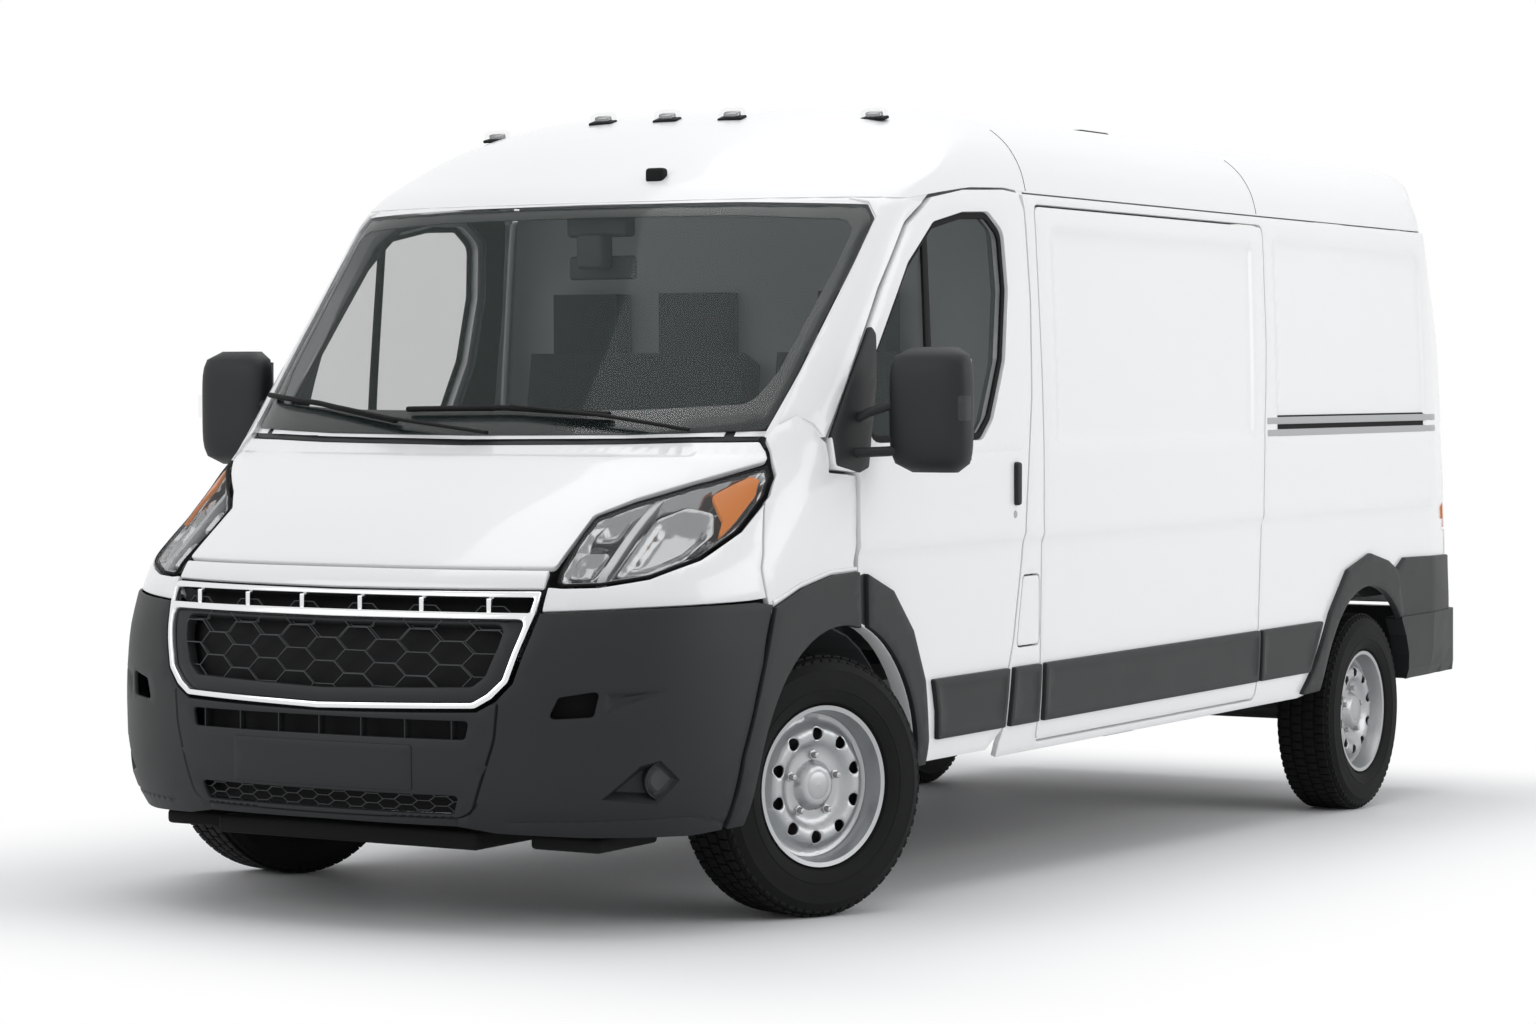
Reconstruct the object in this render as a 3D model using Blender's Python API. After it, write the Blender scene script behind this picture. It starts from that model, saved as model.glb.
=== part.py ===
# A panel van on its wheels: lofted body shell, split doors, open arches, steered front wheels
import bpy
import bmesh
from math import cos, hypot, pi, radians, sin, sqrt
from mathutils import Matrix, Vector

# Driving sizes. Along the van, places count rearwards from the front axle; up is from the road.
WHEELBASE = 4.035
FRONT_TRACK = 1.81
REAR_TRACK = 1.79
FRONT_OVERHANG = 0.985
REAR_OVERHANG = 1.015
HALF_WIDTH = 1.0
ROOF_HEIGHT = 2.32
RAKE = 0.026
FIT = 0.0003
CUT = 0.2
VOLUME_SLACK_SHARE = 0.001
FLAT_ANGLE = radians(0.8)

# Walls and shut lines
WALL = 0.045
SHEET = 0.014
HINGED_GAP = 0.010
FIXED_GAP = 0.0006
GLASS_THICK = 0.006
GLASS_SINK = 0.004
LAMP_DEPTH = 0.09
FLARE_STAND = 0.022
MOULDING_STAND = 0.018
RECESS_DEPTH = 0.010
FLOOR_TOP = 0.70
FLOOR_THICK = 0.04
SILL_BOTTOM = 0.335

# Wheels and axles
TYRE_RADIUS = 0.360
TYRE_WIDTH = 0.225
RIM_RADIUS = 0.2215
RIM_WIDTH = 0.172
BEAD_RADIUS = 0.203
RIM_SHEET = 0.006
VENT_HOLES = 10
VENT_RADIUS = 0.0165
VENT_CIRCLE = 0.142
ROUND_STEPS = 20
ARCH_STEPS = 32
REST_STEER = radians(20.2)
KINGPIN_INSET = 0.075
KINGPIN_SET_BACK = KINGPIN_INSET * sin(REST_STEER)

# Joint lines
DOOR_AXIS = (0.975, 0.215)
HOOD_AXIS = (-0.130, 1.320)
HOOD_ARM_X = 0.775
HOOD_ARM = 0.012
HOOD_PIN = 0.006
HOOD_EYE = 0.011
HOOD_NOTCH = 0.007
REAR_DOOR_AXIS = (0.812, 0.012)
FLAP_AXIS_INSET = 0.004
HINGE_RADIUS = 0.011
HINGE_LENGTH = 0.05

# Skin stations: height, nose, half width, wrap depth, bow, tail half width, as shares of the
# roof height, the front overhang and the half width
SKIN_SHARES = (
    (.103, -.944, .930, .70, 2.5, .955), (.164, -.995, .985, .70, 2.5, .970),
    (.194, -1.0, .995, .70, 2.5, .970), (.259, -1.0, 1.0, .70, 2.5, .970), (.323, -.987, 1.0, .70, 2.5, .965),
    (.373, -.949, 1.0, .70, 2.5, .962), (.416, -.898, 1.0, .72, 2.5, .957), (.431, -.853, 1.0, .72, 2.5, .955),
    (.453, -.777, .998, .70, 2.5, .953), (.483, -.665, .997, .66, 2.55, .950), (.517, -.513, .996, .58, 2.7, .943),
    (.543, -.391, .995, .52, 2.85, .940), (.565, -.310, .993, .47, 3.0, .937), (.625, -.168, .988, .44, 3.1, .930),
    (.690, -.020, .980, .42, 3.3, .920), (.776, .173, .968, .38, 3.4, .895), (.856, .350, .955, .35, 3.5, .860),
    (.877, .406, .948, .36, 3.3, .848), (.905, .508, .932, .40, 3.0, .832), (.935, .629, .895, .45, 2.9, .815),
    (.957, .731, .845, .50, 2.8, .795), (.974, .832, .78, .52, 2.7, .755), (.987, .944, .69, .50, 2.6, .69),
    (.9935, 1.066, .58, .45, 2.6, .60), (1.0, 1.32, .30, .30, 2.6, .35))
WRAP_STEPS = 7
TAPER_START = 4.72
TAPER_SHARE = 0.5
TAIL_STEPS = 3
LEAN_LIMIT = 4.0
TAIL_ROUND = 0.07
TAIL_TOP_ROUND = 0.10


def material(name, colour, rough, metal=0.0, alpha=1.0):
    """A plain finish for one kind of surface."""
    made = bpy.data.materials.get(name)
    if made is None:
        made = bpy.data.materials.new(name)
        made.use_nodes = True
        shader = made.node_tree.nodes["Principled BSDF"]
        shader.inputs["Base Color"].default_value = (*colour, 1.0)
        shader.inputs["Roughness"].default_value = rough
        shader.inputs["Metallic"].default_value = metal
        shader.inputs["Alpha"].default_value = alpha
        made.diffuse_color = (*colour, alpha)
    return made


def clear_scene():
    for item in list(bpy.data.objects):
        bpy.data.objects.remove(item, do_unlink=True)


def solid(name, build):
    """One closed mesh object whose faces are turned outwards."""
    shape = bmesh.new()
    build(shape)
    bmesh.ops.recalc_face_normals(shape, faces=shape.faces)
    mesh = bpy.data.meshes.new(name)
    shape.to_mesh(mesh)
    shape.free()
    made = bpy.data.objects.new(name, mesh)
    bpy.context.scene.collection.objects.link(made)
    return made


def loft(name, rings):
    """Skins closed rings of equal count and caps both ends."""
    def build(shape):
        loops = [[shape.verts.new(point) for point in ring] for ring in rings]
        count = len(loops[0])
        for low, high in zip(loops, loops[1:]):
            for at in range(count):
                after = (at + 1) % count
                shape.faces.new((low[at], low[after], high[after], high[at]))
        shape.faces.new(loops[0][::-1])
        shape.faces.new(loops[-1])
    return solid(name, build)


def prism(name, outline, axis, start, end):
    """An outline drawn across one axis, drawn out along it: x takes (s, z), y (x, z), z (x, s)."""
    order = {"x": lambda a, b, c: (c, a, b), "y": lambda a, b, c: (a, c, b), "z": lambda a, b, c: (a, b, c)}[axis]
    return loft(name, [[order(a, b, level) for a, b in outline] for level in (start, end)])


def box(name, low, high):
    outline = [(low[0], low[1]), (high[0], low[1]), (high[0], high[1]), (low[0], high[1])]
    return prism(name, outline, "z", low[2], high[2])


def turned(name, profile, centre, steps=ROUND_STEPS):
    """A closed profile of (radius, x) points turned round the x axis through a centre."""
    def build(shape):
        rings = []
        for step in range(steps):
            angle = 2 * pi * step / steps
            rings.append([shape.verts.new((centre[0] + x, centre[1] + r * sin(angle), centre[2] + r * cos(angle)))
                          for r, x in profile])
        for at, ring in enumerate(rings):
            after = rings[(at + 1) % steps]
            for one in range(len(profile)):
                two = (one + 1) % len(profile)
                shape.faces.new((ring[one], ring[two], after[two], after[one]))
    return solid(name, build)


def rod(name, start, end, radius, steps=16):
    """A round bar between two points."""
    start, end = Vector(start), Vector(end)
    turn = (end - start).to_track_quat("Z", "Y").to_matrix()
    rings = []
    for base in (start, end):
        rings.append([base + turn @ Vector((radius * cos(2 * pi * step / steps), radius * sin(2 * pi * step / steps), 0))
                      for step in range(steps)])
    return loft(name, rings)


def tube_run(name, points, radius, steps=12):
    """A bent round bar through points, with its rings turned to the run."""
    points = [Vector(point) for point in points]
    rings = []
    for at, point in enumerate(points):
        before = points[max(at - 1, 0)]
        after = points[min(at + 1, len(points) - 1)]
        turn = (after - before).to_track_quat("Z", "Y").to_matrix()
        rings.append([point + turn @ Vector((radius * cos(2 * pi * step / steps), radius * sin(2 * pi * step / steps), 0))
                      for step in range(steps)])
    return loft(name, rings)


def measure(mesh):
    """A mesh's volume, or none where it isn't closed."""
    shape = bmesh.new()
    shape.from_mesh(mesh)
    volume = shape.calc_volume() if all(edge.is_manifold for edge in shape.edges) else None
    shape.free()
    return volume


def boolean(target, tool, operation, spend=True):
    """Applies one Boolean, with the second solver where the exact one leaves an open or wrong form."""
    before, other = measure(target.data), measure(tool.data)
    least = {"DIFFERENCE": before - other, "UNION": max(before, other), "INTERSECT": 0.0}[operation]
    most = {"DIFFERENCE": before, "UNION": before + other, "INTERSECT": min(before, other)}[operation]
    slack = before * VOLUME_SLACK_SHARE
    for solver in ("EXACT", "MANIFOLD"):
        modifier = target.modifiers.new("cut", "BOOLEAN")
        modifier.operation = operation
        modifier.solver = solver
        modifier.object = tool
        bpy.context.view_layer.update()
        graph = bpy.context.evaluated_depsgraph_get()
        mesh = bpy.data.meshes.new_from_object(target.evaluated_get(graph))
        target.modifiers.clear()
        volume = measure(mesh)
        if volume and least - slack <= volume <= most + slack:
            break
    old = target.data
    target.data = mesh
    mesh.name = target.name
    bpy.data.meshes.remove(old)
    if spend:
        bpy.data.objects.remove(tool, do_unlink=True)
    return target


def cut(target, tool, spend=True):
    return boolean(target, tool, "DIFFERENCE", spend)


def keep(target, tool, spend=True):
    return boolean(target, tool, "INTERSECT", spend)


def join(target, *tools):
    for tool in tools:
        boolean(target, tool, "UNION")
    return target


def mirrored(source, name):
    """The same piece on the other side of the van."""
    mesh = source.data.copy()
    mesh.name = name
    mesh.transform(Matrix.Scale(-1, 4, (1, 0, 0)))
    mesh.flip_normals()
    made = bpy.data.objects.new(name, mesh)
    bpy.context.scene.collection.objects.link(made)
    return made


def grown(outline, margin):
    """The outline moved outwards by a margin, with its corners mitred."""
    points = [Vector(point) for point in outline]
    area = sum(a.x * b.y - b.x * a.y for a, b in zip(points, points[1:] + points[:1]))
    side = 1 if area > 0 else -1
    made = []
    for at, point in enumerate(points):
        back = (point - points[at - 1]).normalized()
        ahead = (points[(at + 1) % len(points)] - point).normalized()
        out = Vector((back.y + ahead.y, -back.x - ahead.x)) * side
        share = 1 + back.dot(ahead)
        made.append(tuple(point + out * (margin / max(share, 0.3))))
    return made


def skin_station(nose, half, wrap, bow, tail, end):
    """One level of the body: its half outline from the nose round to the middle of the tail."""
    points = []
    for step in range(WRAP_STEPS + 1):
        angle = pi / 2 * step / WRAP_STEPS
        points.append((half * sin(angle) ** (2 / bow), nose + wrap * (1 - cos(angle) ** (2 / bow))))
    points.append((half, TAPER_START))
    points.append((half - (half - tail) * TAPER_SHARE, TAPER_START + (end - TAIL_ROUND - TAPER_START) * TAPER_SHARE))
    for step in range(TAIL_STEPS + 1):
        angle = pi / 2 * step / TAIL_STEPS
        points.append((tail - TAIL_ROUND * (1 - cos(angle)), end - TAIL_ROUND * (1 - sin(angle))))
    points.append((0.0, end))
    return points


def skin(name, inset=0.0, drop=0.0):
    """The body's outer form moved inwards by an inset, and made deeper below by a drop."""
    levels = [(height * ROOF_HEIGHT, nose * FRONT_OVERHANG, half * HALF_WIDTH, wrap * HALF_WIDTH, bow,
               tail * HALF_WIDTH) for height, nose, half, wrap, bow, tail in SKIN_SHARES]
    rings = []
    last = len(levels) - 1
    for row, (z, nose, half, wrap, bow, tail) in enumerate(levels):
        if 0 < ROOF_HEIGHT - z < inset * 1.5:
            continue
        below, above = levels[max(row - 1, 0)], levels[min(row + 1, last)]
        rise = above[0] - below[0]
        nose_lean = hypot(1, (above[1] - below[1]) / rise)
        side_lean = min(hypot(1, (above[2] - below[2]) / rise), LEAN_LIMIT)
        top = max(0.0, z - (ROOF_HEIGHT - TAIL_TOP_ROUND)) / TAIL_TOP_ROUND
        end = WHEELBASE + REAR_OVERHANG - TAIL_TOP_ROUND * (1 - sqrt(1 - min(top, 1.0) ** 2))
        half_ring = skin_station(nose + inset * nose_lean, half - inset * side_lean, wrap, bow,
                                 tail - inset * side_lean, end - inset)
        ring = half_ring + [(-x, s) for x, s in half_ring[-2:0:-1]]
        level = z - inset if row == last else z
        rings.append([(x, s, level) for x, s in ring])
    if drop:
        low = rings[0][0][2] - drop
        rings.insert(0, [(x, s, low) for x, s, z in rings[0]])
    return loft(name, rings)


def piece(name, outline, axis, start, end, outer, inner=None):
    """The part of a shell that lies behind an outline."""
    made = prism(name, outline, axis, start, end)
    keep(made, outer, spend=False)
    if inner is not None:
        cut(made, inner, spend=False)
    return made


def finish(target, look, parent, origin=None, sharp=35):
    """Cleans a piece, gives it its look and hangs it on its carrier."""
    for merge in (FIT / 3, FIT / 30, 0.0):
        shape = bmesh.new()
        shape.from_mesh(target.data)
        if merge:
            bmesh.ops.remove_doubles(shape, verts=shape.verts, dist=merge)
            bmesh.ops.dissolve_degenerate(shape, edges=shape.edges, dist=merge)
            bmesh.ops.dissolve_limit(shape, angle_limit=FLAT_ANGLE, verts=shape.verts, edges=shape.edges)
        bmesh.ops.triangulate(shape, faces=shape.faces)
        if all(edge.is_manifold for edge in shape.edges):
            shape.to_mesh(target.data)
            shape.free()
            break
        shape.free()
    target.data.materials.clear()
    target.data.materials.append(look)
    target.data.shade_smooth()
    target.data.set_sharp_from_angle(angle=radians(sharp))
    place = Vector(origin) if origin else Vector((0, 0, 0))
    target.data.transform(Matrix.Translation(-place))
    target.parent = parent
    target.location = place - Vector(parent.get("origin", (0, 0, 0)))
    return target


# Outlines seen from the left: places along the van and heights
FRONT_DOOR = ((.152, .93), (.156, 1.215), (.01, 1.228), (.014, 1.308), (.116, 1.431), (.35, 1.725), (.518, 1.914),
              (.674, 2.0), (.872, 2.029), (1.139, 2.041), (1.235, 2.035), (1.262, 1.987), (1.268, 1.714), (1.245, 1.412),
              (1.219, 1.261), (1.176, .931), (1.121, .693), (1.089, .611), (1.064, .432), (.969, .374), (.52, .356),
              (.30, .60), (.16, .80))
DOOR_WINDOW = ((.494, 1.807), (.661, 1.928), (.855, 1.964), (1.021, 1.971), (1.113, 1.915), (1.123, 1.742),
               (1.08, 1.531), (.985, 1.354), (.914, 1.296), (.20, 1.296), (.275, 1.55))
SLIDE_DOOR = ((1.338, 2.0), (1.328, 1.3), (1.311, .6), (1.303, .376), (3.025, .376), (3.022, .606), (3.069, 1.3),
              (3.11, 1.6), (3.13, 2.0))
FRONT_ARCH = (0.04, 0.35, 0.445)
REAR_ARCH = (4.045, 0.262, 0.452)
FRONT_FLARE = ((-.36, .72), (-.311, .87), (-.176, .911), (-.009, .939), (.162, .942), (.338, .881), (.459, .761),
               (.532, .614), (.563, .439), (.563, .36), (.42, .30), (.04, .20), (-.36, .30))
REAR_FLARE = ((3.43, .335), (3.546, .475), (3.67, .64), (3.835, .784), (4.065, .836), (4.241, .803), (4.346, .761),
              (4.42, .60), (4.46, .335), (4.04, .20))
RECESS = ((3.18, 1.275), (4.66, 1.275), (4.68, 1.90), (4.64, 1.955), (3.22, 1.965), (3.20, 1.60))
SLIDE_RECESS = ((1.42, 1.275), (2.98, 1.275), (3.03, 1.94), (1.44, 1.94))
DOOR_SEAM = 1.29
SIDE_START = 1.285
SIDE_TOP = 2.125
SIDE_FRONT = ((.53, SILL_BOTTOM), (.53, .35), (.95, .36), (1.02, .60), (1.18, 1.90), (SIDE_START, 1.96))
FLAP_GAP = 0.005
TAIL_POST = 0.10

# Outlines seen from the front: half widths and heights
WINDSCREEN = ((.0, 1.318), (.5, 1.322), (.871, 1.334), (.886, 1.50), (.90, 1.80), (.902, 1.93), (.872, 1.972),
              (.5, 1.984), (.0, 1.988))
HOOD = ((.0, .985), (.604, .985), (.604, 1.115), (.676, 1.158), (.786, 1.204), (.905, 1.255), (.892, 1.282),
        (.868, 1.309), (.70, 1.308), (.50, 1.303), (.0, 1.298))
HEADLAMP = ((.627, .945), (.612, 1.039), (.612, 1.112), (.682, 1.150), (.792, 1.196), (.914, 1.245), (.931, 1.216),
            (.94, 1.163), (.93, 1.074), (.894, 1.004), (.824, .959), (.726, .940), (.645, .937))
GRILLE_FRAME = ((.0, .975), (.598, .975), (.60, .905), (.588, .80), (.556, .69), (.515, .645), (.47, .618), (.0, .608))
GRILLE_MESH = ((.0, .845), (.535, .845), (.522, .78), (.492, .70), (.46, .668), (.0, .655))
BUMPER_TOP = 0.868
TAIL_LAMP = ((4.955, .90), (5.10, .90), (5.10, 1.30), (4.955, 1.30))
FLAP = ((1.30, .672), (1.30, .882), (1.192, .882), (1.148, .672))
FENDER_INNER = 0.55
FENDER_TOP = 1.315
FENDER_CORNER = (.84, 1.27)
HINGE_HEIGHTS = (.88, 1.12)
REAR_HINGE_HEIGHTS = (.76, 1.62)
REAR_DOOR = ((.0, .60), (.806, .60), (.806, 1.88), (.79, 1.98), (.75, 2.055), (.70, 2.085), (.0, 2.085))
REAR_BUMPER = (4.37, 0.345, 0.585)
GRILLE_ROWS = 5
GRILLE_PITCH = 0.088
GRILLE_WEB = 0.010
FIN_COUNT = 6
LAMP_PLACES = ((0.0, .80), (.225, .785), (.665, .83))


def both(half):
    """A half outline from the middle outwards and back, with its mirror image."""
    return list(half) + [(-x, z) for x, z in reversed(half) if x > 0.0]


def arch_tool(arch, inner, grow_by=0.0):
    """The round hollow over a wheel, from an inner width out past the side."""
    s, z, radius = arch
    made = rod("arch", (inner, s, z), (HALF_WIDTH + CUT, s, z), radius + grow_by, ARCH_STEPS)
    lower = box("below", (inner, s - radius - grow_by, z - CUT - radius), (HALF_WIDTH + CUT, s + radius + grow_by, z))
    return join(made, lower)


def side_cut(target, outline, margin, start=0.5):
    return cut(target, prism("tool", grown(outline, margin), "x", start, HALF_WIDTH + CUT))


def front_cut(target, outline, margin, depth=0.6):
    return cut(target, prism("tool", grown(outline, margin), "y", -FRONT_OVERHANG - CUT, depth))


def body_panels(look, skins, carrier):
    """The fixed sheet panels: roof, sides, cab frame, fenders and the door sills."""
    outer, wall, sheet = skins["outer"], skins["wall"], skins["sheet"]
    tail = WHEELBASE + REAR_OVERHANG
    roof_line = ((.30, SIDE_TOP + FIXED_GAP), (tail + CUT, SIDE_TOP + FIXED_GAP), (tail + CUT, ROOF_HEIGHT + CUT),
                 (.30, ROOF_HEIGHT + CUT))
    roof = piece("roof", roof_line, "x", -HALF_WIDTH - CUT, HALF_WIDTH + CUT, outer, wall)
    front_cut(roof, both(WINDSCREEN), FIXED_GAP, 0.8)
    cut(roof, prism("tool", grown(both(REAR_DOOR), HINGED_GAP), "y", tail - TAIL_POST, tail + CUT))
    for x, s in LAMP_PLACES:
        for side in ((1, -1) if x else (1,)):
            join(roof, marker_lamp(outer, x * side, s))
    finish(roof, look["paint"], carrier)

    side = piece("side_left", SIDE_FRONT + ((SIDE_START, SIDE_TOP), (tail + CUT, SIDE_TOP), (tail + CUT, SILL_BOTTOM)),
                 "x", 0.5, HALF_WIDTH + CUT, outer, wall)
    side_cut(side, FRONT_DOOR, HINGED_GAP)
    side_cut(side, SLIDE_DOOR, FIXED_GAP)
    cut(side, arch_tool(REAR_ARCH, 0.5))
    cut(side, prism("tool", grown(both(REAR_DOOR), HINGED_GAP), "y", tail - TAIL_POST, tail + CUT))
    cut(side, box("tool", (0.5, REAR_BUMPER[0], 0.0), (HALF_WIDTH + CUT, tail + CUT, REAR_BUMPER[2] + FIXED_GAP)))
    cut(side, prism("tool", grown(TAIL_LAMP, FIXED_GAP), "x", 0.5, HALF_WIDTH + CUT))
    cut(side, recess_tool(RECESS, skins["recess"]))
    rear_hinges(side, body_half=True)
    for outline in (POST_MOULD, REAR_MOULD, RAIL):
        join(side, over_skin("trim", outline, "moulding", skins))
    join(side, rear_flare(skins))
    right = mirrored(side, "side_right")
    cut(side, recess_tool(grown(FLAP, FLAP_GAP), skins["pocket"]))
    finish(side, look["paint"], carrier)
    finish(right, look["paint"], carrier)

    frame = piece("cab_frame", ((-.6, 1.29), (.90, 1.29), (1.0, 1.92), (1.20, 1.985), (SIDE_START - FIXED_GAP, 1.985),
                                (SIDE_START - FIXED_GAP, SIDE_TOP), (-.6, SIDE_TOP)), "x", -HALF_WIDTH - CUT, HALF_WIDTH + CUT, outer, wall)
    for name in ("left", "right"):
        tool = prism("tool", grown(FRONT_DOOR, HINGED_GAP), "x", 0.7, HALF_WIDTH + CUT)
        if name == "right":
            flipped = mirrored(tool, "tool_right")
            bpy.data.objects.remove(tool, do_unlink=True)
            tool = flipped
        cut(frame, tool)
    front_cut(frame, both(WINDSCREEN), FIXED_GAP, 0.8)
    front_cut(frame, both(HOOD), HINGED_GAP)
    cut(frame, box("tool", (FENDER_INNER, -.6, 0.9), (HALF_WIDTH + CUT, .16, FENDER_TOP + FIXED_GAP)))
    cut(frame, box("tool", (-HALF_WIDTH - CUT, -.6, 0.9), (-FENDER_INNER, .16, FENDER_TOP + FIXED_GAP)))
    finish(cowl(frame, skins), look["paint"], carrier)

    fender = piece("fender_left", ((-.92, BUMPER_TOP + FIXED_GAP), (.16, BUMPER_TOP + FIXED_GAP), (.16, FENDER_TOP),
                                   (-.92, FENDER_TOP)), "x", FENDER_INNER + FIXED_GAP, HALF_WIDTH + CUT, outer, sheet)
    side_cut(fender, FRONT_DOOR, HINGED_GAP)
    front_cut(fender, both(HOOD), HINGED_GAP)
    cut(fender, box("tool", (FENDER_INNER, -FRONT_OVERHANG, FENDER_CORNER[1]), (FENDER_CORNER[0], 0.0, ROOF_HEIGHT)))
    front_cut(fender, HEADLAMP, FIXED_GAP)
    front_cut(fender, both(WINDSCREEN), FIXED_GAP)
    front_cut(fender, both(GRILLE_FRAME), FIXED_GAP)
    flare = over_skin("flare", FRONT_FLARE, "flare", skins)
    cut(flare, prism("tool", grown(FRONT_DOOR, FLARE_GAP), "x", 0.6, HALF_WIDTH + CUT))
    cut(flare, box("tool", (0.5, FLARE_CUT, 0.0), (HALF_WIDTH + CUT, -1.0, 1.0)))
    cut(flare, box("tool", (0.5, .1, 0.0), (HALF_WIDTH + CUT, 1.0, .75)))
    join(fender, flare)
    cut(fender, arch_tool(FRONT_ARCH, 0.5))
    right = mirrored(fender, "fender_right")
    finish(fender, look["paint"], carrier)
    finish(right, look["paint"], carrier)


def cowl(frame, skins):
    """The panel under the windscreen: notched for the hood's arms, with the pins that they turn on."""
    sill = box("sill", (-SILL_HALF, -FRONT_OVERHANG, HOOD_RIM_LOW), (SILL_HALF, 0.0, WINDSCREEN[2][1]))
    cut(frame, cut(sill, skins["recess"], spend=False))
    join(frame, box("cowl", (-COWL_HALF, COWL_FRONT, FIREWALL_TOP + FIT), (COWL_HALF, TOE_FRONT - FIT, COWL_TOP)))
    s, z = HOOD_AXIS
    for sign in (1, -1):
        low, high = span(sign, HOOD_ARM_X - HOOD_NOTCH, HOOD_ARM_X + HOOD_ARM + HOOD_NOTCH)
        cut(frame, box("tool", (low, COWL_FRONT - CUT, COWL_BRACKET[1]), (high, s + HOOD_EYE, z + HOOD_EYE * 2)))
        low, high = span(sign, COWL_HALF - CUT, HOOD_ARM_X + HOOD_ARM + HOOD_NOTCH)
        join(frame, box("bracket", (low, s + HOOD_EYE + HOOD_NOTCH, COWL_BRACKET[0]), (high, COWL_BACK, COWL_BRACKET[2])))
        low, high = span(sign, HOOD_ARM_X + HOOD_ARM, COWL_REACH)
        join(frame, box("bracket", (low, s + HOOD_EYE + HOOD_NOTCH, FENDER_TOP + FIXED_GAP * 3),
                        (high, COWL_BACK, COWL_BRACKET[2])))
        low, high = span(sign, HOOD_ARM_X + HOOD_ARM + FIXED_GAP, HOOD_ARM_X + HOOD_ARM + HOOD_NOTCH)
        join(frame, box("lug", (low, s - HOOD_EYE, z - HOOD_EYE), (high, COWL_BACK, z + HOOD_EYE)))
        low, high = span(sign, HOOD_ARM_X, HOOD_ARM_X + HOOD_ARM + HOOD_NOTCH)
        join(frame, rod("pin", (low, s, z), (high, s, z), HOOD_PIN, 12))
    return frame


def hood_arm(skins, sign):
    """One of the arms that carry the hood, bent down to pass under the windscreen's edge."""
    near, far = span(sign, HOOD_ARM_X, HOOD_ARM_X + HOOD_ARM)
    arm = prism("arm", HOOD_ARM_LINE, "x", near, far)
    join(arm, rod("eye", (near, *HOOD_AXIS), (far, *HOOD_AXIS), HOOD_EYE, 12))
    keep(arm, skins["recess"], spend=False)
    return cut(arm, rod("hole", (near - CUT, *HOOD_AXIS), (far + CUT, *HOOD_AXIS), HOOD_PIN + FIXED_GAP, 12))


def span(sign, near, far):
    """Two places along x on one side of the van, the lower first."""
    return sorted((near * sign, far * sign))


TOE_FRONT = -0.12
COWL_HALF = 0.54
COWL_FRONT = -0.246
COWL_BACK = -0.098
COWL_REACH = 0.89
COWL_TOP = 1.312
COWL_BRACKET = (1.285, 1.300, 1.330)
FIREWALL_TOP = 1.215
HOOD_ARM_LINE = ((-.137, 1.328), (-.123, 1.314), (-.153, 1.277), (-.262, 1.238), (-.262, 1.275), (-.203, 1.277),
                 (-.160, 1.288))
HOOD_RIM_LOW = 1.278
SILL_HALF = 0.872


def marker_lamp(outer, x, s):
    """A low boat-shaped clearance lamp base on the front of the roof."""
    rings = []
    for share, lift in ((1.0, -WALL / 2), (1.0, 0.0), (0.72, LAMP_RISE)):
        ring = []
        for step in range(10):
            angle = 2 * pi * step / 10
            along = s + LAMP_LENGTH * share * sin(angle)
            across = x + LAMP_WIDTH * share * cos(angle)
            ring.append((across, along, outer.ray_cast((across, along, ROOF_HEIGHT + CUT), (0, 0, -1))[1].z + lift))
        rings.append(ring)
    return loft("lamp", rings)


def recess_tool(outline, recess):
    """What is scooped out of a panel: all that lies outside the skin moved in by the recess depth."""
    return cut(prism("recess_tool", outline, "x", 0.5, HALF_WIDTH + CUT), recess, spend=False)


def barrel(x, s, low, high, reach_x, reach_s):
    """One half of a hinge: a round barrel on the joint line with a leaf to its panel."""
    made = rod("barrel", (x, s, low), (x, s, high), HINGE_RADIUS, 12)
    corner_low = (min(x, x + reach_x) - HINGE_LEAF / 2, min(s, s + reach_s) - HINGE_LEAF, low + FIT)
    corner_high = (max(x, x + reach_x) + HINGE_LEAF / 2, max(s, s + reach_s) + HINGE_LEAF, high - FIT)
    return join(made, box("leaf", corner_low, corner_high))


def rear_hinges(target, body_half):
    """Outside hinges at the tail corner; the body carries the upper half of each."""
    x = REAR_DOOR_AXIS[0]
    s = WHEELBASE + REAR_OVERHANG + REAR_DOOR_AXIS[1]
    for height in REAR_HINGE_HEIGHTS:
        if body_half:
            join(target, barrel(x, s, height + FIT, height + HINGE_LENGTH, REAR_LEAF, -HINGE_LEAF * 4))
        else:
            join(target, barrel(x, s, height - HINGE_LENGTH, height, -REAR_LEAF, -HINGE_LEAF * 4))
    return target


def front_hinges(target, body_half):
    x, s = DOOR_AXIS
    for height in HINGE_HEIGHTS:
        if body_half:
            join(target, barrel(x, s, height + FIT, height + HINGE_LENGTH, -POST_REACH, 0.0))
        else:
            cut(target, box("notch", (x - POST_REACH, s - DOOR_NOTCH[0], height - FIT),
                            (x + HINGE_RADIUS + FIT * 4, s + DOOR_NOTCH[1], height + HINGE_LENGTH + DOOR_NOTCH[2])))
    return target


LAMP_LENGTH = 0.085
LAMP_WIDTH = 0.036
LAMP_RISE = 0.02
HINGE_LEAF = 0.004
REAR_LEAF = 0.045
POST_REACH = 0.085
DOOR_NOTCH = (.09, .016, .006)


def over_skin(name, outline, stand, skins):
    """A moulding that stands out from the skin and is rooted in the sheet that carries it."""
    made = prism(name, outline, "x", 0.6, HALF_WIDTH + CUT)
    keep(made, skins[stand], spend=False)
    return cut(made, skins["root"], spend=False)


def glass_pane(name, outline, axis, start, end, skins):
    made = prism(name, outline, axis, start, end)
    keep(made, skins["glass_out"], spend=False)
    return cut(made, skins["glass_in"], spend=False)


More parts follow.
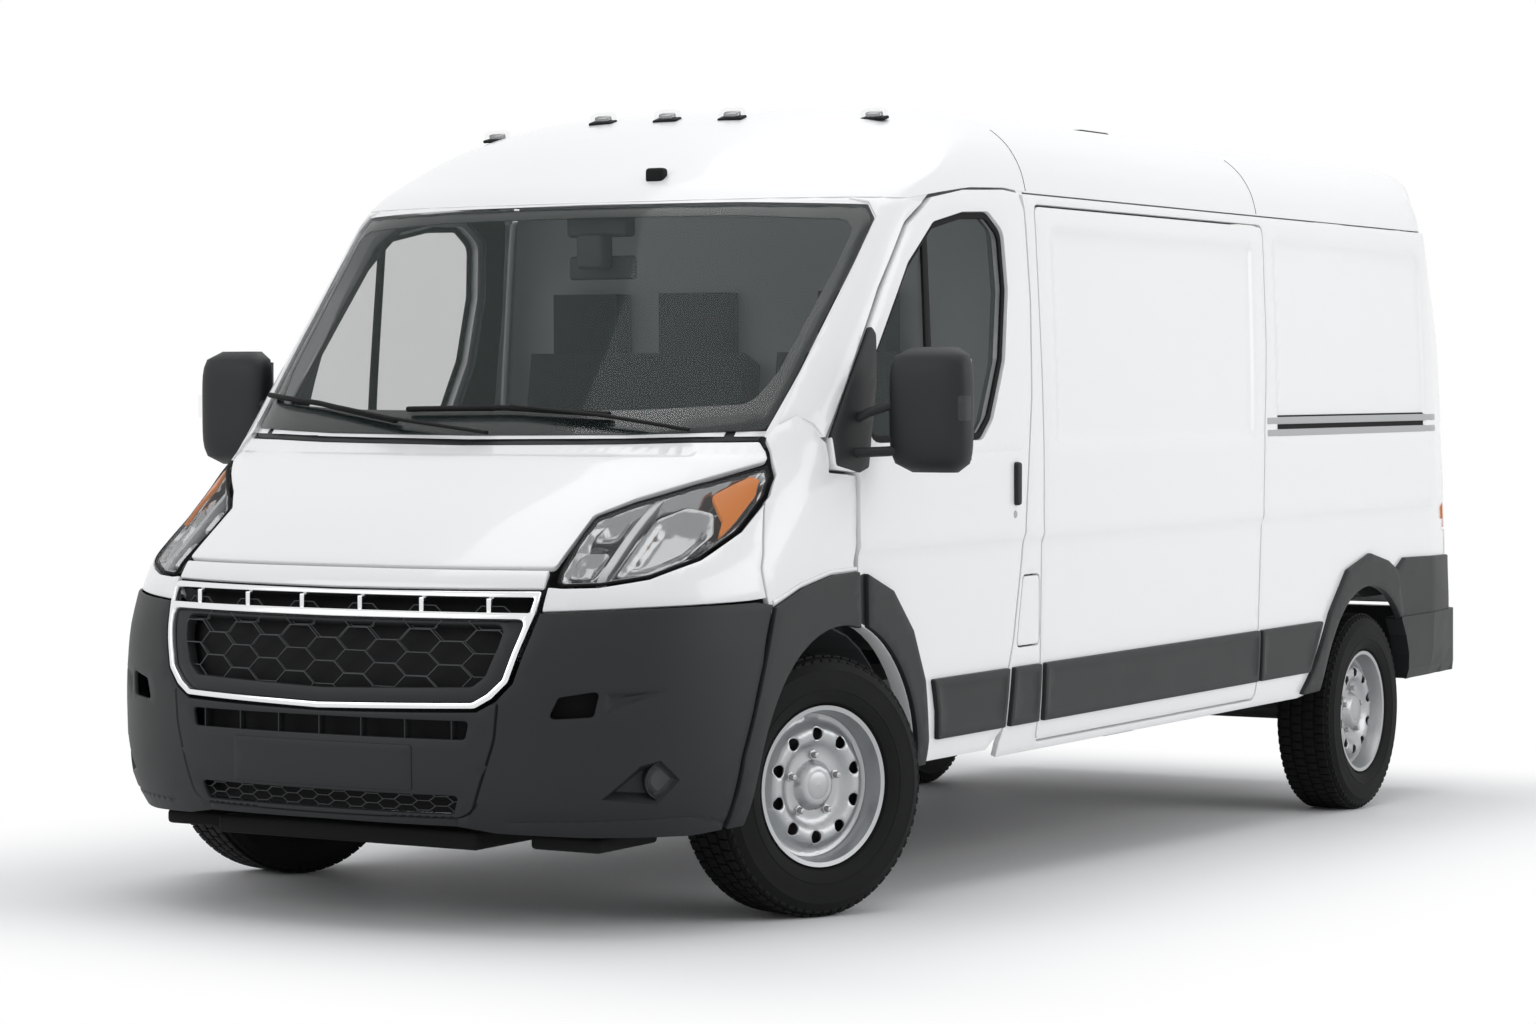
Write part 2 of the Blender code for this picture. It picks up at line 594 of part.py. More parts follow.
def side_pair(made, look, carriers, origins=(None, None)):
    """Finishes a left-hand piece and its mirror image on the right."""
    right = mirrored(made, made.name.replace("_left", "_right"))
    finish(made, look, carriers[0], origins[0])
    finish(right, look, carriers[1], origins[1])


# Loose panels, lamps and trim
MIRROR_BASE = ((.252, 1.56), (.03, 1.312), (.02, 1.235), (.15, 1.222), (.17, 1.30))
MIRROR_LOW = (1.075, .150, 1.215)
MIRROR_HIGH = (1.325, .260, 1.565)
MOULD_LOW = .436
MOULD_HIGH = .612
DOOR_MOULD = ((.69, MOULD_LOW), (1.062, MOULD_LOW), (1.085, MOULD_HIGH), (.69, MOULD_HIGH))
POST_MOULD = ((1.085, MOULD_LOW), (1.285, MOULD_LOW), (1.295, MOULD_HIGH), (1.108, MOULD_HIGH))
SLIDE_MOULD = ((1.318, MOULD_LOW), (3.012, MOULD_LOW), (3.015, MOULD_HIGH), (1.322, MOULD_HIGH))
REAR_MOULD = ((3.04, MOULD_LOW), (3.38, MOULD_LOW), (3.43, .52), (3.50, MOULD_HIGH), (3.04, MOULD_HIGH))
RAIL = ((3.085, 1.285), (4.70, 1.285), (4.70, 1.345), (3.085, 1.345))
HANDLE = ((1.03, 1.10), (1.165, 1.10), (1.165, 1.17), (1.03, 1.17))
PLATE_HALF = 0.29
PLATE_LEVELS = (.40, .525)
SLOT_LEVELS = (.540, .590)
LOWER_MESH_LEVELS = (.345, .392)
SLOT_HALF = 0.42
FOG_PLACE = (.885, .431)
FOG_RADIUS = .048


def hex_plate(name, half_outline, pitch, web, low_s, high_s):
    """A mesh of six-sided holes with flat tops, held in a rim of its own outline."""
    plate = prism(name, half_outline, "y", low_s, high_s)
    xs = [x for x, z in half_outline]
    zs = [z for x, z in half_outline]
    inner = grown(half_outline, -web)
    radius = pitch / 2 - web / 2

    def cells(shape):
        rise = pitch * 0.5
        across = pitch * 1.5 / sqrt(3) * 1.15
        rows = int((max(zs) - min(zs)) / rise) + 2
        columns = int((max(xs) - min(xs)) / across) + 2
        for column in range(-columns, columns + 1):
            for row in range(-1, rows + 1):
                x = column * across
                z = min(zs) + web * 2 + row * pitch + (rise if column % 2 else 0.0)
                rings = []
                for s in (low_s - CUT, high_s + CUT):
                    rings.append([shape.verts.new((x + radius * 1.32 * cos(pi / 3 * k), s, z + radius * 1.08 * sin(pi / 3 * k)))
                                  for k in range(6)])
                shape.faces.new(rings[0])
                shape.faces.new(rings[1][::-1])
                for k in range(6):
                    shape.faces.new((rings[0][k], rings[0][(k + 1) % 6], rings[1][(k + 1) % 6], rings[1][k]))
    holes = solid("holes", cells)
    keep(holes, prism("inner", inner, "y", low_s - CUT * 2, high_s + CUT * 2))
    return cut(plate, holes)


def front_end(look, skins, body, hood_hinge):
    """Hood, lamps, grille, bumper and windscreen."""
    outer, wall, sheet = skins["outer"], skins["wall"], skins["sheet"]
    fore = -FRONT_OVERHANG - CUT
    hood = piece("hood", both(HOOD), "y", fore, 0.3, outer, skins["hood"])
    rim = box("rim", (-HALF_WIDTH, -FRONT_OVERHANG, HOOD_RIM_LOW), (HALF_WIDTH, 0.3, ROOF_HEIGHT))
    cut(hood, keep(rim, skins["glass_out"], spend=False))
    join(hood, hood_arm(skins, 1), hood_arm(skins, -1))
    finish(hood, look["paint"], hood_hinge)

    lamp = piece("headlamp_left", HEADLAMP, "y", fore, 0.0, outer, skins["lamp"])
    cut(lamp, arch_tool(FRONT_ARCH, 0.5, LINER_THICK * 2))
    side_pair(lamp, look["lens"], (body, body))

    frame = piece("grille_frame", both(GRILLE_FRAME), "y", fore, 0.0, skins["chrome"], skins["grille_back"])
    cut(frame, prism("tool", both(GRILLE_MESH), "y", fore, 0.0))
    slot = grown(both(GRILLE_SLOT), 0.0)
    cut(frame, prism("tool", slot, "y", fore, 0.0))
    for number in range(FIN_COUNT):
        x = (number - (FIN_COUNT - 1) / 2) * FIN_PITCH
        z_low, z_high = GRILLE_SLOT[0][1], GRILLE_SLOT[-1][1]
        fin = box("fin", (x - FIN_HALF, fore, z_low - FIT * 10), (x + FIN_HALF, 0.0, z_high + FIT * 10))
        keep(fin, skins["outer"], spend=False)
        join(frame, cut(fin, skins["grille_back"], spend=False))
    finish(frame, look["chrome"], body)

    mesh = hex_plate("grille_mesh", grown(both(GRILLE_MESH), -FIT), GRILLE_PITCH, GRILLE_WEB, fore, 0.0)
    keep(mesh, skins["grille_front"], spend=False)
    cut(mesh, skins["grille_back"], spend=False)
    finish(mesh, look["trim"], body)

    screen = glass_pane("windscreen", both(WINDSCREEN), "y", -1.0, 0.8, skins)
    finish(screen, look["glass"], body)

    bumper = piece("front_bumper", ((-1.3, .20), (.5, .20), (.5, BUMPER_TOP), (-1.3, BUMPER_TOP)), "x",
                   -HALF_WIDTH - CUT, HALF_WIDTH + CUT, outer, skins["bumper"])
    cut(bumper, prism("tool", grown(both(GRILLE_FRAME), FIXED_GAP), "y", fore, 0.3))
    cut(bumper, box("tool", (-HALF_WIDTH - CUT, BUMPER_END, 0.0), (HALF_WIDTH + CUT, 1.0, 1.0)))
    for sign in (1, -1):
        tool = arch_tool(FRONT_ARCH, 0.5)
        if sign < 0:
            flipped = mirrored(tool, "tool")
            bpy.data.objects.remove(tool, do_unlink=True)
            tool = flipped
        cut(bumper, tool)
        cut(bumper, rod("tool", (FOG_PLACE[0] * sign, fore, FOG_PLACE[1]), (FOG_PLACE[0] * sign, -.4, FOG_PLACE[1]),
                        FOG_RADIUS + FIT, 24))
    for half, (low, high) in ((SLOT_HALF, SLOT_LEVELS), (LOWER_HALF, LOWER_MESH_LEVELS)):
        cut(bumper, box("tool", (-half, fore, low), (half, -.7, high)))
    for sign in (1, -1):
        cut(bumper, prism("tool", [(x * sign, z) for x, z in SIDE_SLOT], "y", fore, -.5))
    for sign in (1, -1):
        fog = rod("fog", (FOG_PLACE[0] * sign, fore, FOG_PLACE[1]), (FOG_PLACE[0] * sign, -.4, FOG_PLACE[1]), FOG_RADIUS + FIT * 10, 24)
        keep(fog, skins["recess"], spend=False)
        join(bumper, cut(fog, skins["bumper"], spend=False))
    finish(bumper, look["trim"], body)


LINER_THICK = 0.006
GRILLE_SLOT = ((-.50, .872), (.50, .872), (.50, .925), (-.50, .925))
FIN_PITCH = 0.15
FIN_HALF = 0.012
BUMPER_END = -0.19
LOWER_HALF = 0.38
SIDE_SLOT = ((.66, .60), (.93, .60), (.93, .69), (.685, .665))


def doors(look, skins, body, hinges):
    """Front doors with their glass, mirrors and trim; sliding doors; rear doors; fuel flap."""
    outer, wall = skins["outer"], skins["wall"]
    tail = WHEELBASE + REAR_OVERHANG
    fronts = (hinges["door_left"], hinges["door_right"])
    door = piece("front_door_left", FRONT_DOOR, "x", 0.6, HALF_WIDTH + CUT, outer, wall)
    side_cut(door, DOOR_WINDOW, 0.0)
    cut(door, arch_tool(FRONT_ARCH, 0.5))
    join(door, over_skin("trim", DOOR_MOULD, "moulding", skins), over_skin("trim", HANDLE, "flare", skins))
    flare = over_skin("flare", FRONT_FLARE, "flare", skins)
    keep(flare, prism("tool", FRONT_DOOR, "x", 0.6, HALF_WIDTH + CUT))
    cut(flare, box("tool", (0.6, 0.0, 0.0), (HALF_WIDTH + CUT, DOOR_FLARE_START, ROOF_HEIGHT)))
    cut(flare, arch_tool(FRONT_ARCH, 0.5))
    join(door, flare, mirror(skins))
    front_hinges(door, body_half=False)
    side_pair(door, look["paint"], fronts)
    pane = glass_pane("door_glass_left", grown(DOOR_WINDOW, -FIT), "x", 0.6, HALF_WIDTH + CUT, skins)
    side_pair(pane, look["glass"], fronts)

    slide = piece("slide_door_left", SLIDE_DOOR, "x", 0.6, HALF_WIDTH + CUT, outer, wall)
    cut(slide, recess_tool(SLIDE_RECESS, skins["recess"]))
    join(slide, over_skin("trim", SLIDE_MOULD, "moulding", skins))
    side_pair(slide, look["paint"], (body, body))

    flap = piece("fuel_flap", FLAP, "x", 0.6, HALF_WIDTH + CUT, outer, skins["sheet"])
    finish(flap, look["paint"], hinges["flap"])

    rear = piece("rear_door_left", both(REAR_DOOR), "y", tail - TAIL_POST, tail + CUT, outer, wall)
    cut(rear, box("tool", (-HALF_WIDTH - CUT, 0.0, 0.0), (HINGED_GAP / 2, tail + CUT, ROOF_HEIGHT + CUT)))
    rear_hinges(rear, body_half=False)
    side_pair(rear, look["paint"], (hinges["rear_left"], hinges["rear_right"]))
    bumper = piece("rear_bumper", ((REAR_BUMPER[0], REAR_BUMPER[1]), (tail + CUT, REAR_BUMPER[1]),
                                   (tail + CUT, REAR_BUMPER[2]), (REAR_BUMPER[0], REAR_BUMPER[2])), "x",
                   -HALF_WIDTH - CUT, HALF_WIDTH + CUT, skins["flare"], skins["wall"])
    for sign in (1, -1):
        tool = arch_tool(REAR_ARCH, 0.5)
        if sign < 0:
            flipped = mirrored(tool, "tool")
            bpy.data.objects.remove(tool, do_unlink=True)
            tool = flipped
        cut(bumper, tool)
    finish(bumper, look["trim"], body)
    lamp = piece("tail_lamp_left", grown(TAIL_LAMP, -FIT), "x", 0.5, HALF_WIDTH + CUT, outer, wall)
    cut(lamp, prism("tool", grown(both(REAR_DOOR), HINGED_GAP), "y", tail - TAIL_POST, tail + CUT))
    side_pair(lamp, look["tail"], (body, body))


FLARE_CUT = -0.186
FLARE_GAP = HINGED_GAP * 2.6
DOOR_FLARE_START = 0.178


def rear_flare(skins):
    """The dark arch over a rear wheel, stopped by the moulding ahead and the bumper behind."""
    flare = over_skin("flare", REAR_FLARE, "flare", skins)
    cut(flare, arch_tool(REAR_ARCH, 0.5))
    return cut(flare, box("tool", (0.5, REAR_BUMPER[0] - FIXED_GAP, 0.0),
                          (HALF_WIDTH + CUT, WHEELBASE + REAR_OVERHANG, REAR_BUMPER[2] + FIXED_GAP)))


def mirror(skins):
    """A door mirror: sail, two arms and the housing, as one piece."""
    sail = over_skin("mirror", MIRROR_BASE, "flare", skins)
    low, high = Vector(MIRROR_LOW), Vector(MIRROR_HIGH)
    rings = []
    for share, level in ((0.8, 0.0), (1.0, 0.12), (1.0, 0.88), (0.8, 1.0)):
        ring = []
        for step in range(12):
            angle = 2 * pi * step / 12
            x = (low.x + high.x) / 2 + (high.x - low.x) / 2 * share * cos(angle)
            s = high.y - (high.y - low.y) * max(0.0, -sin(angle)) * share
            ring.append((x, s if sin(angle) < 0 else high.y, low.z + (high.z - low.z) * level))
        rings.append([point for at, point in enumerate(ring) if at == 0 or at >= 6])
    housing = loft("housing", rings)
    for level in (0.18, 0.60):
        z = low.z + (high.z - low.z) * level
        arm = rod("arm", (ARM_ROOT[0], ARM_ROOT[1], z * 0.75 + 1.32 * 0.25), (low.x + 0.06, (low.y + high.y) / 2, z), 0.014, 8)
        join(housing, arm)
    return join(sail, housing)


ARM_ROOT = (1.0, .13)


def wheel(name, centre, side, carrier, look):
    """A steel wheel and its tyre; the outer face looks along side."""
    half = RIM_WIDTH / 2
    face = half - 0.002
    profile = [(RIM_RADIUS, half), (RIM_RADIUS, half + RIM_SHEET), (BEAD_RADIUS - RIM_SHEET, half + RIM_SHEET),
               (0.172, half * 0.42), (0.158, half * 0.80), (0.118, half * 0.74), (0.098, half * 0.52),
               (0.060, half * 0.52), (0.056, half * 0.80), (0.0, half * 0.80)]
    back = [(0.0, -half * 0.55), (0.070, -half * 0.55), (0.070, half * 0.40),
            (0.155, half * 0.68), (0.168, half * 0.32), (BEAD_RADIUS - RIM_SHEET, -half - RIM_SHEET),
            (RIM_RADIUS, -half - RIM_SHEET), (RIM_RADIUS, -half), (BEAD_RADIUS, -half), (BEAD_RADIUS, half)]
    points = [(max(r, AXLE_POINT), x * side) for r, x in profile + back]
    rim = turned(f"rim_{name}", points, centre)
    for number in range(VENT_HOLES):
        angle = 2 * pi * (number + 0.5) / VENT_HOLES
        s, z = centre[1] + VENT_CIRCLE * sin(angle), centre[2] + VENT_CIRCLE * cos(angle)
        tool = rod("vent", (centre[0] + side * half * 0.2, s, z), (centre[0] + side * half * 1.5, s, z), VENT_RADIUS, 6)
        cut(rim, tool)
    width = TYRE_WIDTH / 2
    tread = TYRE_RADIUS
    tyre_points = [(BEAD_RADIUS + FIT, half - FIT), (RIM_RADIUS + FIT * 5, half - FIT), (RIM_RADIUS + 0.012, half + 0.012),
                   (0.285, width), (tread - 0.018, width * 0.90), (tread, width * 0.68)]
    tyre_points += [(r, -x) for r, x in reversed(tyre_points)]
    tyre = turned(f"tyre_{name}", tyre_points, centre)
    finish(rim, look["wheel"], carrier, centre)
    finish(tyre, look["tyre"], carrier, centre)
    return rim, tyre


AXLE_POINT = 0.004


# Running gear and cabin places
RAIL_X = 0.43
RAIL_HALF = 0.035
CROSS_HALF = 0.03
CROSS_PLACES = (-.73, .55, 1.9, 3.1, 4.82)
RAIL_LOW = 0.54
RAIL_HIGH = FLOOR_TOP - FLOOR_THICK - FIT
LINER_INNER = 0.56
LINER_OUTER = 0.93
POST_TOP = 1.185
HUB_BACK = RIM_WIDTH / 2 * 0.55
BULKHEAD_S = 1.335
BULKHEAD_THICK = 0.02
CABIN_HALF = 0.74
WHEEL_CENTRE = (0.40, 0.475, 1.22)
WHEEL_TILT = radians(32)
COLUMN_LENGTH = 0.19
WHEEL_HALF = 0.20


def running_gear(look, body, level, steer):
    """Frame rails, engine, axle, springs, tank, exhaust and the steered knuckles."""
    rails = box("chassis_frame", (RAIL_X - RAIL_HALF, -.80, RAIL_LOW), (RAIL_X + RAIL_HALF, 4.90, RAIL_HIGH))
    join(rails, box("rail", (-RAIL_X - RAIL_HALF, -.80, RAIL_LOW), (-RAIL_X + RAIL_HALF, 4.90, RAIL_HIGH)))
    for s in CROSS_PLACES:
        join(rails, box("cross", (-RAIL_X, s - CROSS_HALF, RAIL_LOW + .01), (RAIL_X, s + CROSS_HALF, RAIL_HIGH - .01)))
    finish(rails, look["frame"], body)
    floor = box("floor", (-FLOOR_HALF, .46, FLOOR_TOP - FLOOR_THICK), (FLOOR_HALF, 4.98, FLOOR_TOP))
    for sign in (1, -1):
        s, z, radius = REAR_ARCH
        house = rod("house", (HOUSE_INNER * sign, s, z), (FLOOR_HALF * sign, s, z), radius + .05, 28)
        keep(house, box("tool", (-2, s - 1, FLOOR_TOP - FLOOR_THICK), (2, s + 1, 2)))
        join(floor, house)
    for sign in (1, -1):
        s, z, radius = REAR_ARCH
        cut(floor, rod("tool", (.66 * sign, s, z), (1.5 * sign, s, z), radius + FIT * 10, 28))
    deck = box("deck", (-DECK_HALF, BULKHEAD_S + DECK_CLEAR, FLOOR_TOP - DECK_RISE), (DECK_HALF, DECK_END, FLOOR_TOP + DECK_RISE))
    for sign in (1, -1):
        s, z, radius = REAR_ARCH
        low, high = span(sign, HOUSE_INNER - DECK_CLEAR, HALF_WIDTH)
        cut(deck, box("tool", (low, s - HOUSE_CHORD, 0.0), (high, s + HOUSE_CHORD, FLOOR_TOP + CUT)))
    join(floor, deck)
    toe = prism("toe", ((.46 + .02, FLOOR_TOP), (.46 + .02, FLOOR_TOP - FLOOR_THICK), (.10, FLOOR_TOP - FLOOR_THICK),
                        (-.12, .95), (-.12, 1.215), (-.09, 1.215), (-.09, .96), (.12, FLOOR_TOP)), "x", -TOE_HALF, TOE_HALF)
    join(floor, toe)
    finish(floor, look["frame"], body)
    engine = box("engine_block", (-.25, -.66, .50), (.25, -.14, 1.06))
    join(engine, box("sump", (-.18, -.60, .34), (.18, -.20, .52)),
         box("gearbox", (-.16, -.16, .36), (.16, .62, RAIL_LOW)),
         box("mount", (-RAIL_X + RAIL_HALF + FIT, -.45, .56), (RAIL_X - RAIL_HALF - FIT, -.38, .62)))
    finish(engine, look["alloy"], body)
    radiator_back = CROSS_PLACES[0] - CROSS_HALF - FIT
    radiator = box("radiator", (-.36, radiator_back - .035, .42), (.36, radiator_back, .86))
    finish(radiator, look["alloy"], body)

    rear_s = WHEELBASE * cos(RAKE) + TYRE_RADIUS * sin(RAKE)
    rear_z = -WHEELBASE * sin(RAKE) + TYRE_RADIUS * cos(RAKE)
    stub = REAR_TRACK / 2 - HUB_BACK - FIT
    axle = rod("rear_axle", (-stub, rear_s, rear_z), (stub, rear_s, rear_z), .042, 16)
    join(axle, rod("case", (-.02, rear_s - .14, rear_z), (-.02, rear_s + .12, rear_z), .13, 14))
    for sign in (1, -1):
        join(axle, rod("drum", ((stub - .05) * sign, rear_s, rear_z), ((stub - FIT * 10) * sign, rear_s, rear_z), .135, 20))
    join(axle, rod("shaft", (-.02, .62 + FIT, rear_z + .02), (-.02, rear_s - .10, rear_z), .038, 12))
    for sign in (1, -1):
        join(axle, leaf_spring(rear_s, rear_z + .042, sign))
    finish(axle, look["iron"], body)
    tank = box("fuel_tank", (RAIL_X + RAIL_HALF + FIT, 1.45, .36), (.88, 2.35, RAIL_HIGH))
    bevel = tank.modifiers.new("round", "BEVEL")
    bevel.width = .04
    bevel.segments = 2
    finish(applied(tank), look["frame"], body)
    pipe = tube_run("exhaust", ((-.26, -.10, .47), (-.30, .3, .47), (-.30, 1.5, .47), (-.30, 3.0, .48), (-.33, 3.6, .50),
                                (-.33, 4.3, .50), (-.33, 4.95, .44)), .028, 10)
    join(pipe, rod("muffler", (-.29, 2.1, .46), (-.29, 2.75, .46), .09, 16),
         box("hanger", (-RAIL_X + RAIL_HALF + FIT, 2.3, .50), (-.28, 2.34, .58)))
    finish(pipe, look["steel"], body)

    side_pair(front_liner(), look["cabin"], (body, body))
    cradle = box("front_subframe", (-.42, -.10, .26), (.42, .16, .33))
    for sign in (1, -1):
        ball, mid = FRONT_TRACK / 2 - KINGPIN_INSET, KINGPIN_SET_BACK
        reach = ((.38, -.09), (.38, .15), (ball - .02, mid + .03), (ball + .02, mid + .02), (ball + .02, mid - .02),
                 (ball - .02, mid - .03))
        join(cradle, prism("arm", [(x * sign, s) for x, s in reach], "z", ARM_LOW, ARM_HIGH))
        join(cradle, box("post", ((RAIL_X - .02) * sign if sign > 0 else -RAIL_X - .02, .0, .30),
                         ((RAIL_X + .02) if sign > 0 else -RAIL_X + .02, .06, RAIL_LOW * cos(RAKE) - FIT)))
    finish(cradle, look["frame"], level)
    for sign, side_name in ((1, "left"), (-1, "right")):
        x = STRUT_X * sign
        tower = rod(f"strut_{side_name}", (x, STRUT_S, STRUT_LOW + FIT), (x, STRUT_S, STRUT_TOP), .028, 14)
        join(tower, rod("coil", (x, STRUT_S, COIL_LOW), (x, STRUT_S, STRUT_TOP - .03), .062, 14))
        near, far = sorted(((TOE_HALF + FIT) * sign, (STRUT_X + .08) * sign))
        join(tower, box("plate", (near, STRUT_S - .15, STRUT_TOP - .02), (far, STRUT_S + .08, STRUT_TOP)))
        axis = steer[side_name]["origin"]
        near, far = sorted((x, axis[0] + .02 * sign))
        join(tower, box("arm", (near, axis[1] - .02, STRUT_LOW + FIT), (far, axis[1] + .02, STRUT_LOW + .03)))
        finish(tower, look["frame"], level)
        face = FRONT_TRACK / 2 - HUB_BACK - FIT
        knuckle = rod(f"knuckle_{side_name}", (axis[0], axis[1], TYRE_RADIUS), (face * sign, axis[1], TYRE_RADIUS), .045, 16)
        join(knuckle, rod("post", (axis[0], axis[1], ARM_HIGH + JOINT_GAP), (axis[0], axis[1], STRUT_LOW - FIT), .022, 12))
        join(knuckle, box("arm", (axis[0] - .012, axis[1], ARM_HIGH + .02), (axis[0] + .012, axis[1] + .13, ARM_HIGH + .045)))
        turn_rest(knuckle, axis)
        finish(knuckle, look["iron"], steer[side_name])


def front_liner():
    """The lining over a front wheel, with the post that the front door hangs on."""
    s, z, radius = FRONT_ARCH
    liner = rod("wheel_liner_left", (LINER_INNER, s, z), (LINER_OUTER, s, z), radius - FIT, ARCH_STEPS)
    cut(liner, rod("tool", (LINER_INNER + LINER_THICK, s, z), (HALF_WIDTH + CUT, s, z), radius - LINER_THICK, ARCH_STEPS))
    keep(liner, box("tool", (-2, -2, z - .02), (2, 2, 2)))
    cut(liner, rod("tool", (STRUT_X, STRUT_S, z), (STRUT_X, STRUT_S, 1.5), .085, 16))
    post = box("post", (.86, .17, .60), (.89, .26, POST_TOP))
    cut(post, rod("tool", (.5, s, z), (HALF_WIDTH + CUT, s, z), radius - LINER_THICK / 2, ARCH_STEPS))
    return join(liner, front_hinges(post, body_half=True))


def leaf_spring(s, z, sign):
    """A leaf pack bowed over the axle, with its two eyes hung beside the frame rail."""
    arc = [(s + SPRING_REACH * (step / 5 - 1), z + SPRING_RISE * abs(step / 5 - 1) ** 1.6) for step in range(11)]
    outline = [(at, level + .010) for at, level in arc] + [(at, level - .014) for at, level in reversed(arc)]
    near, far = RAIL_X + RAIL_HALF + FIT, RAIL_X + RAIL_HALF + .065
    leaf = prism("leaf", outline, "x", sign * near, sign * far)
    for end in (arc[0], arc[-1]):
        low = (min(sign * near, sign * far), end[0] - .025, end[1] - .02)
        high = (max(sign * near, sign * far), end[0] + .025, RAIL_HIGH)
        join(leaf, box("shackle", low, high))
    return leaf


def turn_rest(target, axis):
    """Turns a front wheel piece about its kingpin to where the steering rests."""
    place = Matrix.Translation(Vector((axis[0], axis[1], 0)))
    target.data.transform(place @ Matrix.Rotation(-REST_STEER, 4, "Z") @ place.inverted())


def applied(target):
    """The piece with its modifiers made part of its mesh."""
    bpy.context.view_layer.update()
    graph = bpy.context.evaluated_depsgraph_get()
    mesh = bpy.data.meshes.new_from_object(target.evaluated_get(graph))
    target.modifiers.clear()
    target.data = mesh
    return target


FLOOR_HALF = 0.90
DECK_HALF = 0.86
DECK_RISE = 0.008
DECK_CLEAR = 0.020
DECK_END = 4.94
HOUSE_INNER = 0.62
HOUSE_CHORD = 0.26
TOE_HALF = 0.53
SPRING_RISE = 0.20
SPRING_REACH = 0.66
STRUT_X = 0.70
STRUT_S = 0.024
STRUT_LOW = 0.47
COIL_LOW = 0.74
STRUT_TOP = 0.93
ARM_LOW = 0.255
ARM_HIGH = 0.285
JOINT_GAP = 0.0006


def cabin(look, skins, body):
    """Bulkhead, dashboard, steering wheel and seats."""
    head = piece("bulkhead", ((BULKHEAD_S - BULKHEAD_THICK, FLOOR_TOP + FIT), (BULKHEAD_S, FLOOR_TOP + FIT),
                              (BULKHEAD_S, ROOF_HEIGHT), (BULKHEAD_S - BULKHEAD_THICK, ROOF_HEIGHT)), "x",
                 -HALF_WIDTH, HALF_WIDTH, skins["liner"])
    finish(head, look["liner"], body)
    dash = prism("dashboard", ((-.115, 1.22), (-.115, 1.02), (.16, .98), (.30, 1.02), (.36, 1.10), (.34, 1.22), (.22, 1.285), (.0, 1.285)),
                 "x", -CABIN_HALF, CABIN_HALF)
    cut(dash, box("tool", (-2, -2, 0), (2, -.09 + FIT, 1.216)))
    centre = Vector(WHEEL_CENTRE)
    wheel_mesh = steering_ring(centre)
    stop = dash.copy()
    stop.data = dash.data.copy()
    bpy.context.scene.collection.objects.link(stop)
    stop.data.transform(Matrix.Translation((0, FIT, FIT)))
    cut(wheel_mesh, stop)
    finish(dash, look["cabin"], body)
    finish(wheel_mesh, look["cabin"], body)
    for name, low, high in (("driver_seat", .14, .66), ("passenger_bench", -.78, .02)):
        seat = prism(name, ((.66, 1.0), (.66, .92), (1.12, .90), (1.27, .96), (1.30, 1.52), (1.20, 1.56), (1.13, 1.10), (1.06, 1.04), (.70, 1.07)), "x", low, high)
        join(seat, box("base", (low + .04, .72, FLOOR_TOP + FIT), (high - .04, 1.14, .93)))
        middles = ((low + high) / 2,) if high - low < .7 else (low + .2, high - .2)
        for middle in middles:
            join(seat, box("head", (middle - .12, 1.21, 1.53), (middle + .12, 1.30, 1.75)))
        finish(seat, look["cloth"], body)


def steering_ring(centre):
    """The steering wheel: a rim, a boss with four spokes and the column into the dashboard."""
    turn = Matrix.Rotation(WHEEL_TILT, 4, "X")

    def build(shape):
        rings = []
        for step in range(28):
            angle = 2 * pi * step / 28
            ring = []
            for side in range(6):
                bend = 2 * pi * side / 6
                r = WHEEL_HALF + .014 * cos(bend)
                ring.append(shape.verts.new((r * cos(angle), .014 * sin(bend), r * sin(angle))))
            rings.append(ring)
        for at, ring in enumerate(rings):
            after = rings[(at + 1) % len(rings)]
            for side in range(6):
                shape.faces.new((ring[side], ring[(side + 1) % 6], after[(side + 1) % 6], after[side]))
    made = solid("steering_wheel", build)
    join(made, rod("boss", (0, -.03, 0), (0, .03, 0), .06, 12))
    for angle in (0, 180):
        x = WHEEL_HALF * cos(radians(angle))
        join(made, box("spoke", (min(0, x), -.008, -.02), (max(0, x), .008, .02)))
    join(made, rod("column", (0, -.01, 0), (0, -COLUMN_LENGTH, 0), .03, 10))
    made.data.transform(Matrix.Translation(centre) @ turn)
    return made


def bodies(vehicle, body):
    """The empties that the moving pieces hang on, each on its joint's line."""
    made = {}

    def empty(name, parent, place):
        item = bpy.data.objects.new(name, None)
        bpy.context.scene.collection.objects.link(item)
        item.parent = parent
        item.location = Vector(place) - Vector(parent.get("origin", (0, 0, 0)))
        item["origin"] = place
        made[name] = item
        return item

    tail = WHEELBASE + REAR_OVERHANG
    for sign, side_name in ((1, "left"), (-1, "right")):
        empty(f"door_{side_name}", body, (DOOR_AXIS[0] * sign, DOOR_AXIS[1], 0.0))
        empty(f"rear_{side_name}", body, (REAR_DOOR_AXIS[0] * sign, tail + REAR_DOOR_AXIS[1], 0.0))
        empty(f"steer_{side_name}", vehicle, ((FRONT_TRACK / 2 - KINGPIN_INSET) * sign, KINGPIN_SET_BACK, 0.0))
    empty("hood_hinge", body, (0.0, *HOOD_AXIS))
    empty("flap", body, (HALF_WIDTH, FLAP[0][0], 0.0))
    return made


def wheels(look, body, vehicle, hinges):
    """Four wheels: the rear pair straight, the front pair turned to rest."""
    for sign, side_name in ((1, "left"), (-1, "right")):
        centre = (FRONT_TRACK / 2 * sign, KINGPIN_SET_BACK, TYRE_RADIUS)
        steer = hinges[f"steer_{side_name}"]
        for made in wheel(f"front_{side_name}", centre, sign, steer, look):
            place = Vector(centre)
            axis = Vector(steer["origin"])
            shift = place - axis
            turn = Matrix.Rotation(-REST_STEER, 4, "Z")
            made.data.transform(turn)
            made.location = turn @ shift
        rear = (REAR_TRACK / 2 * sign, WHEELBASE, TYRE_RADIUS)
        wheel(f"rear_{side_name}", rear, sign, vehicle, look)


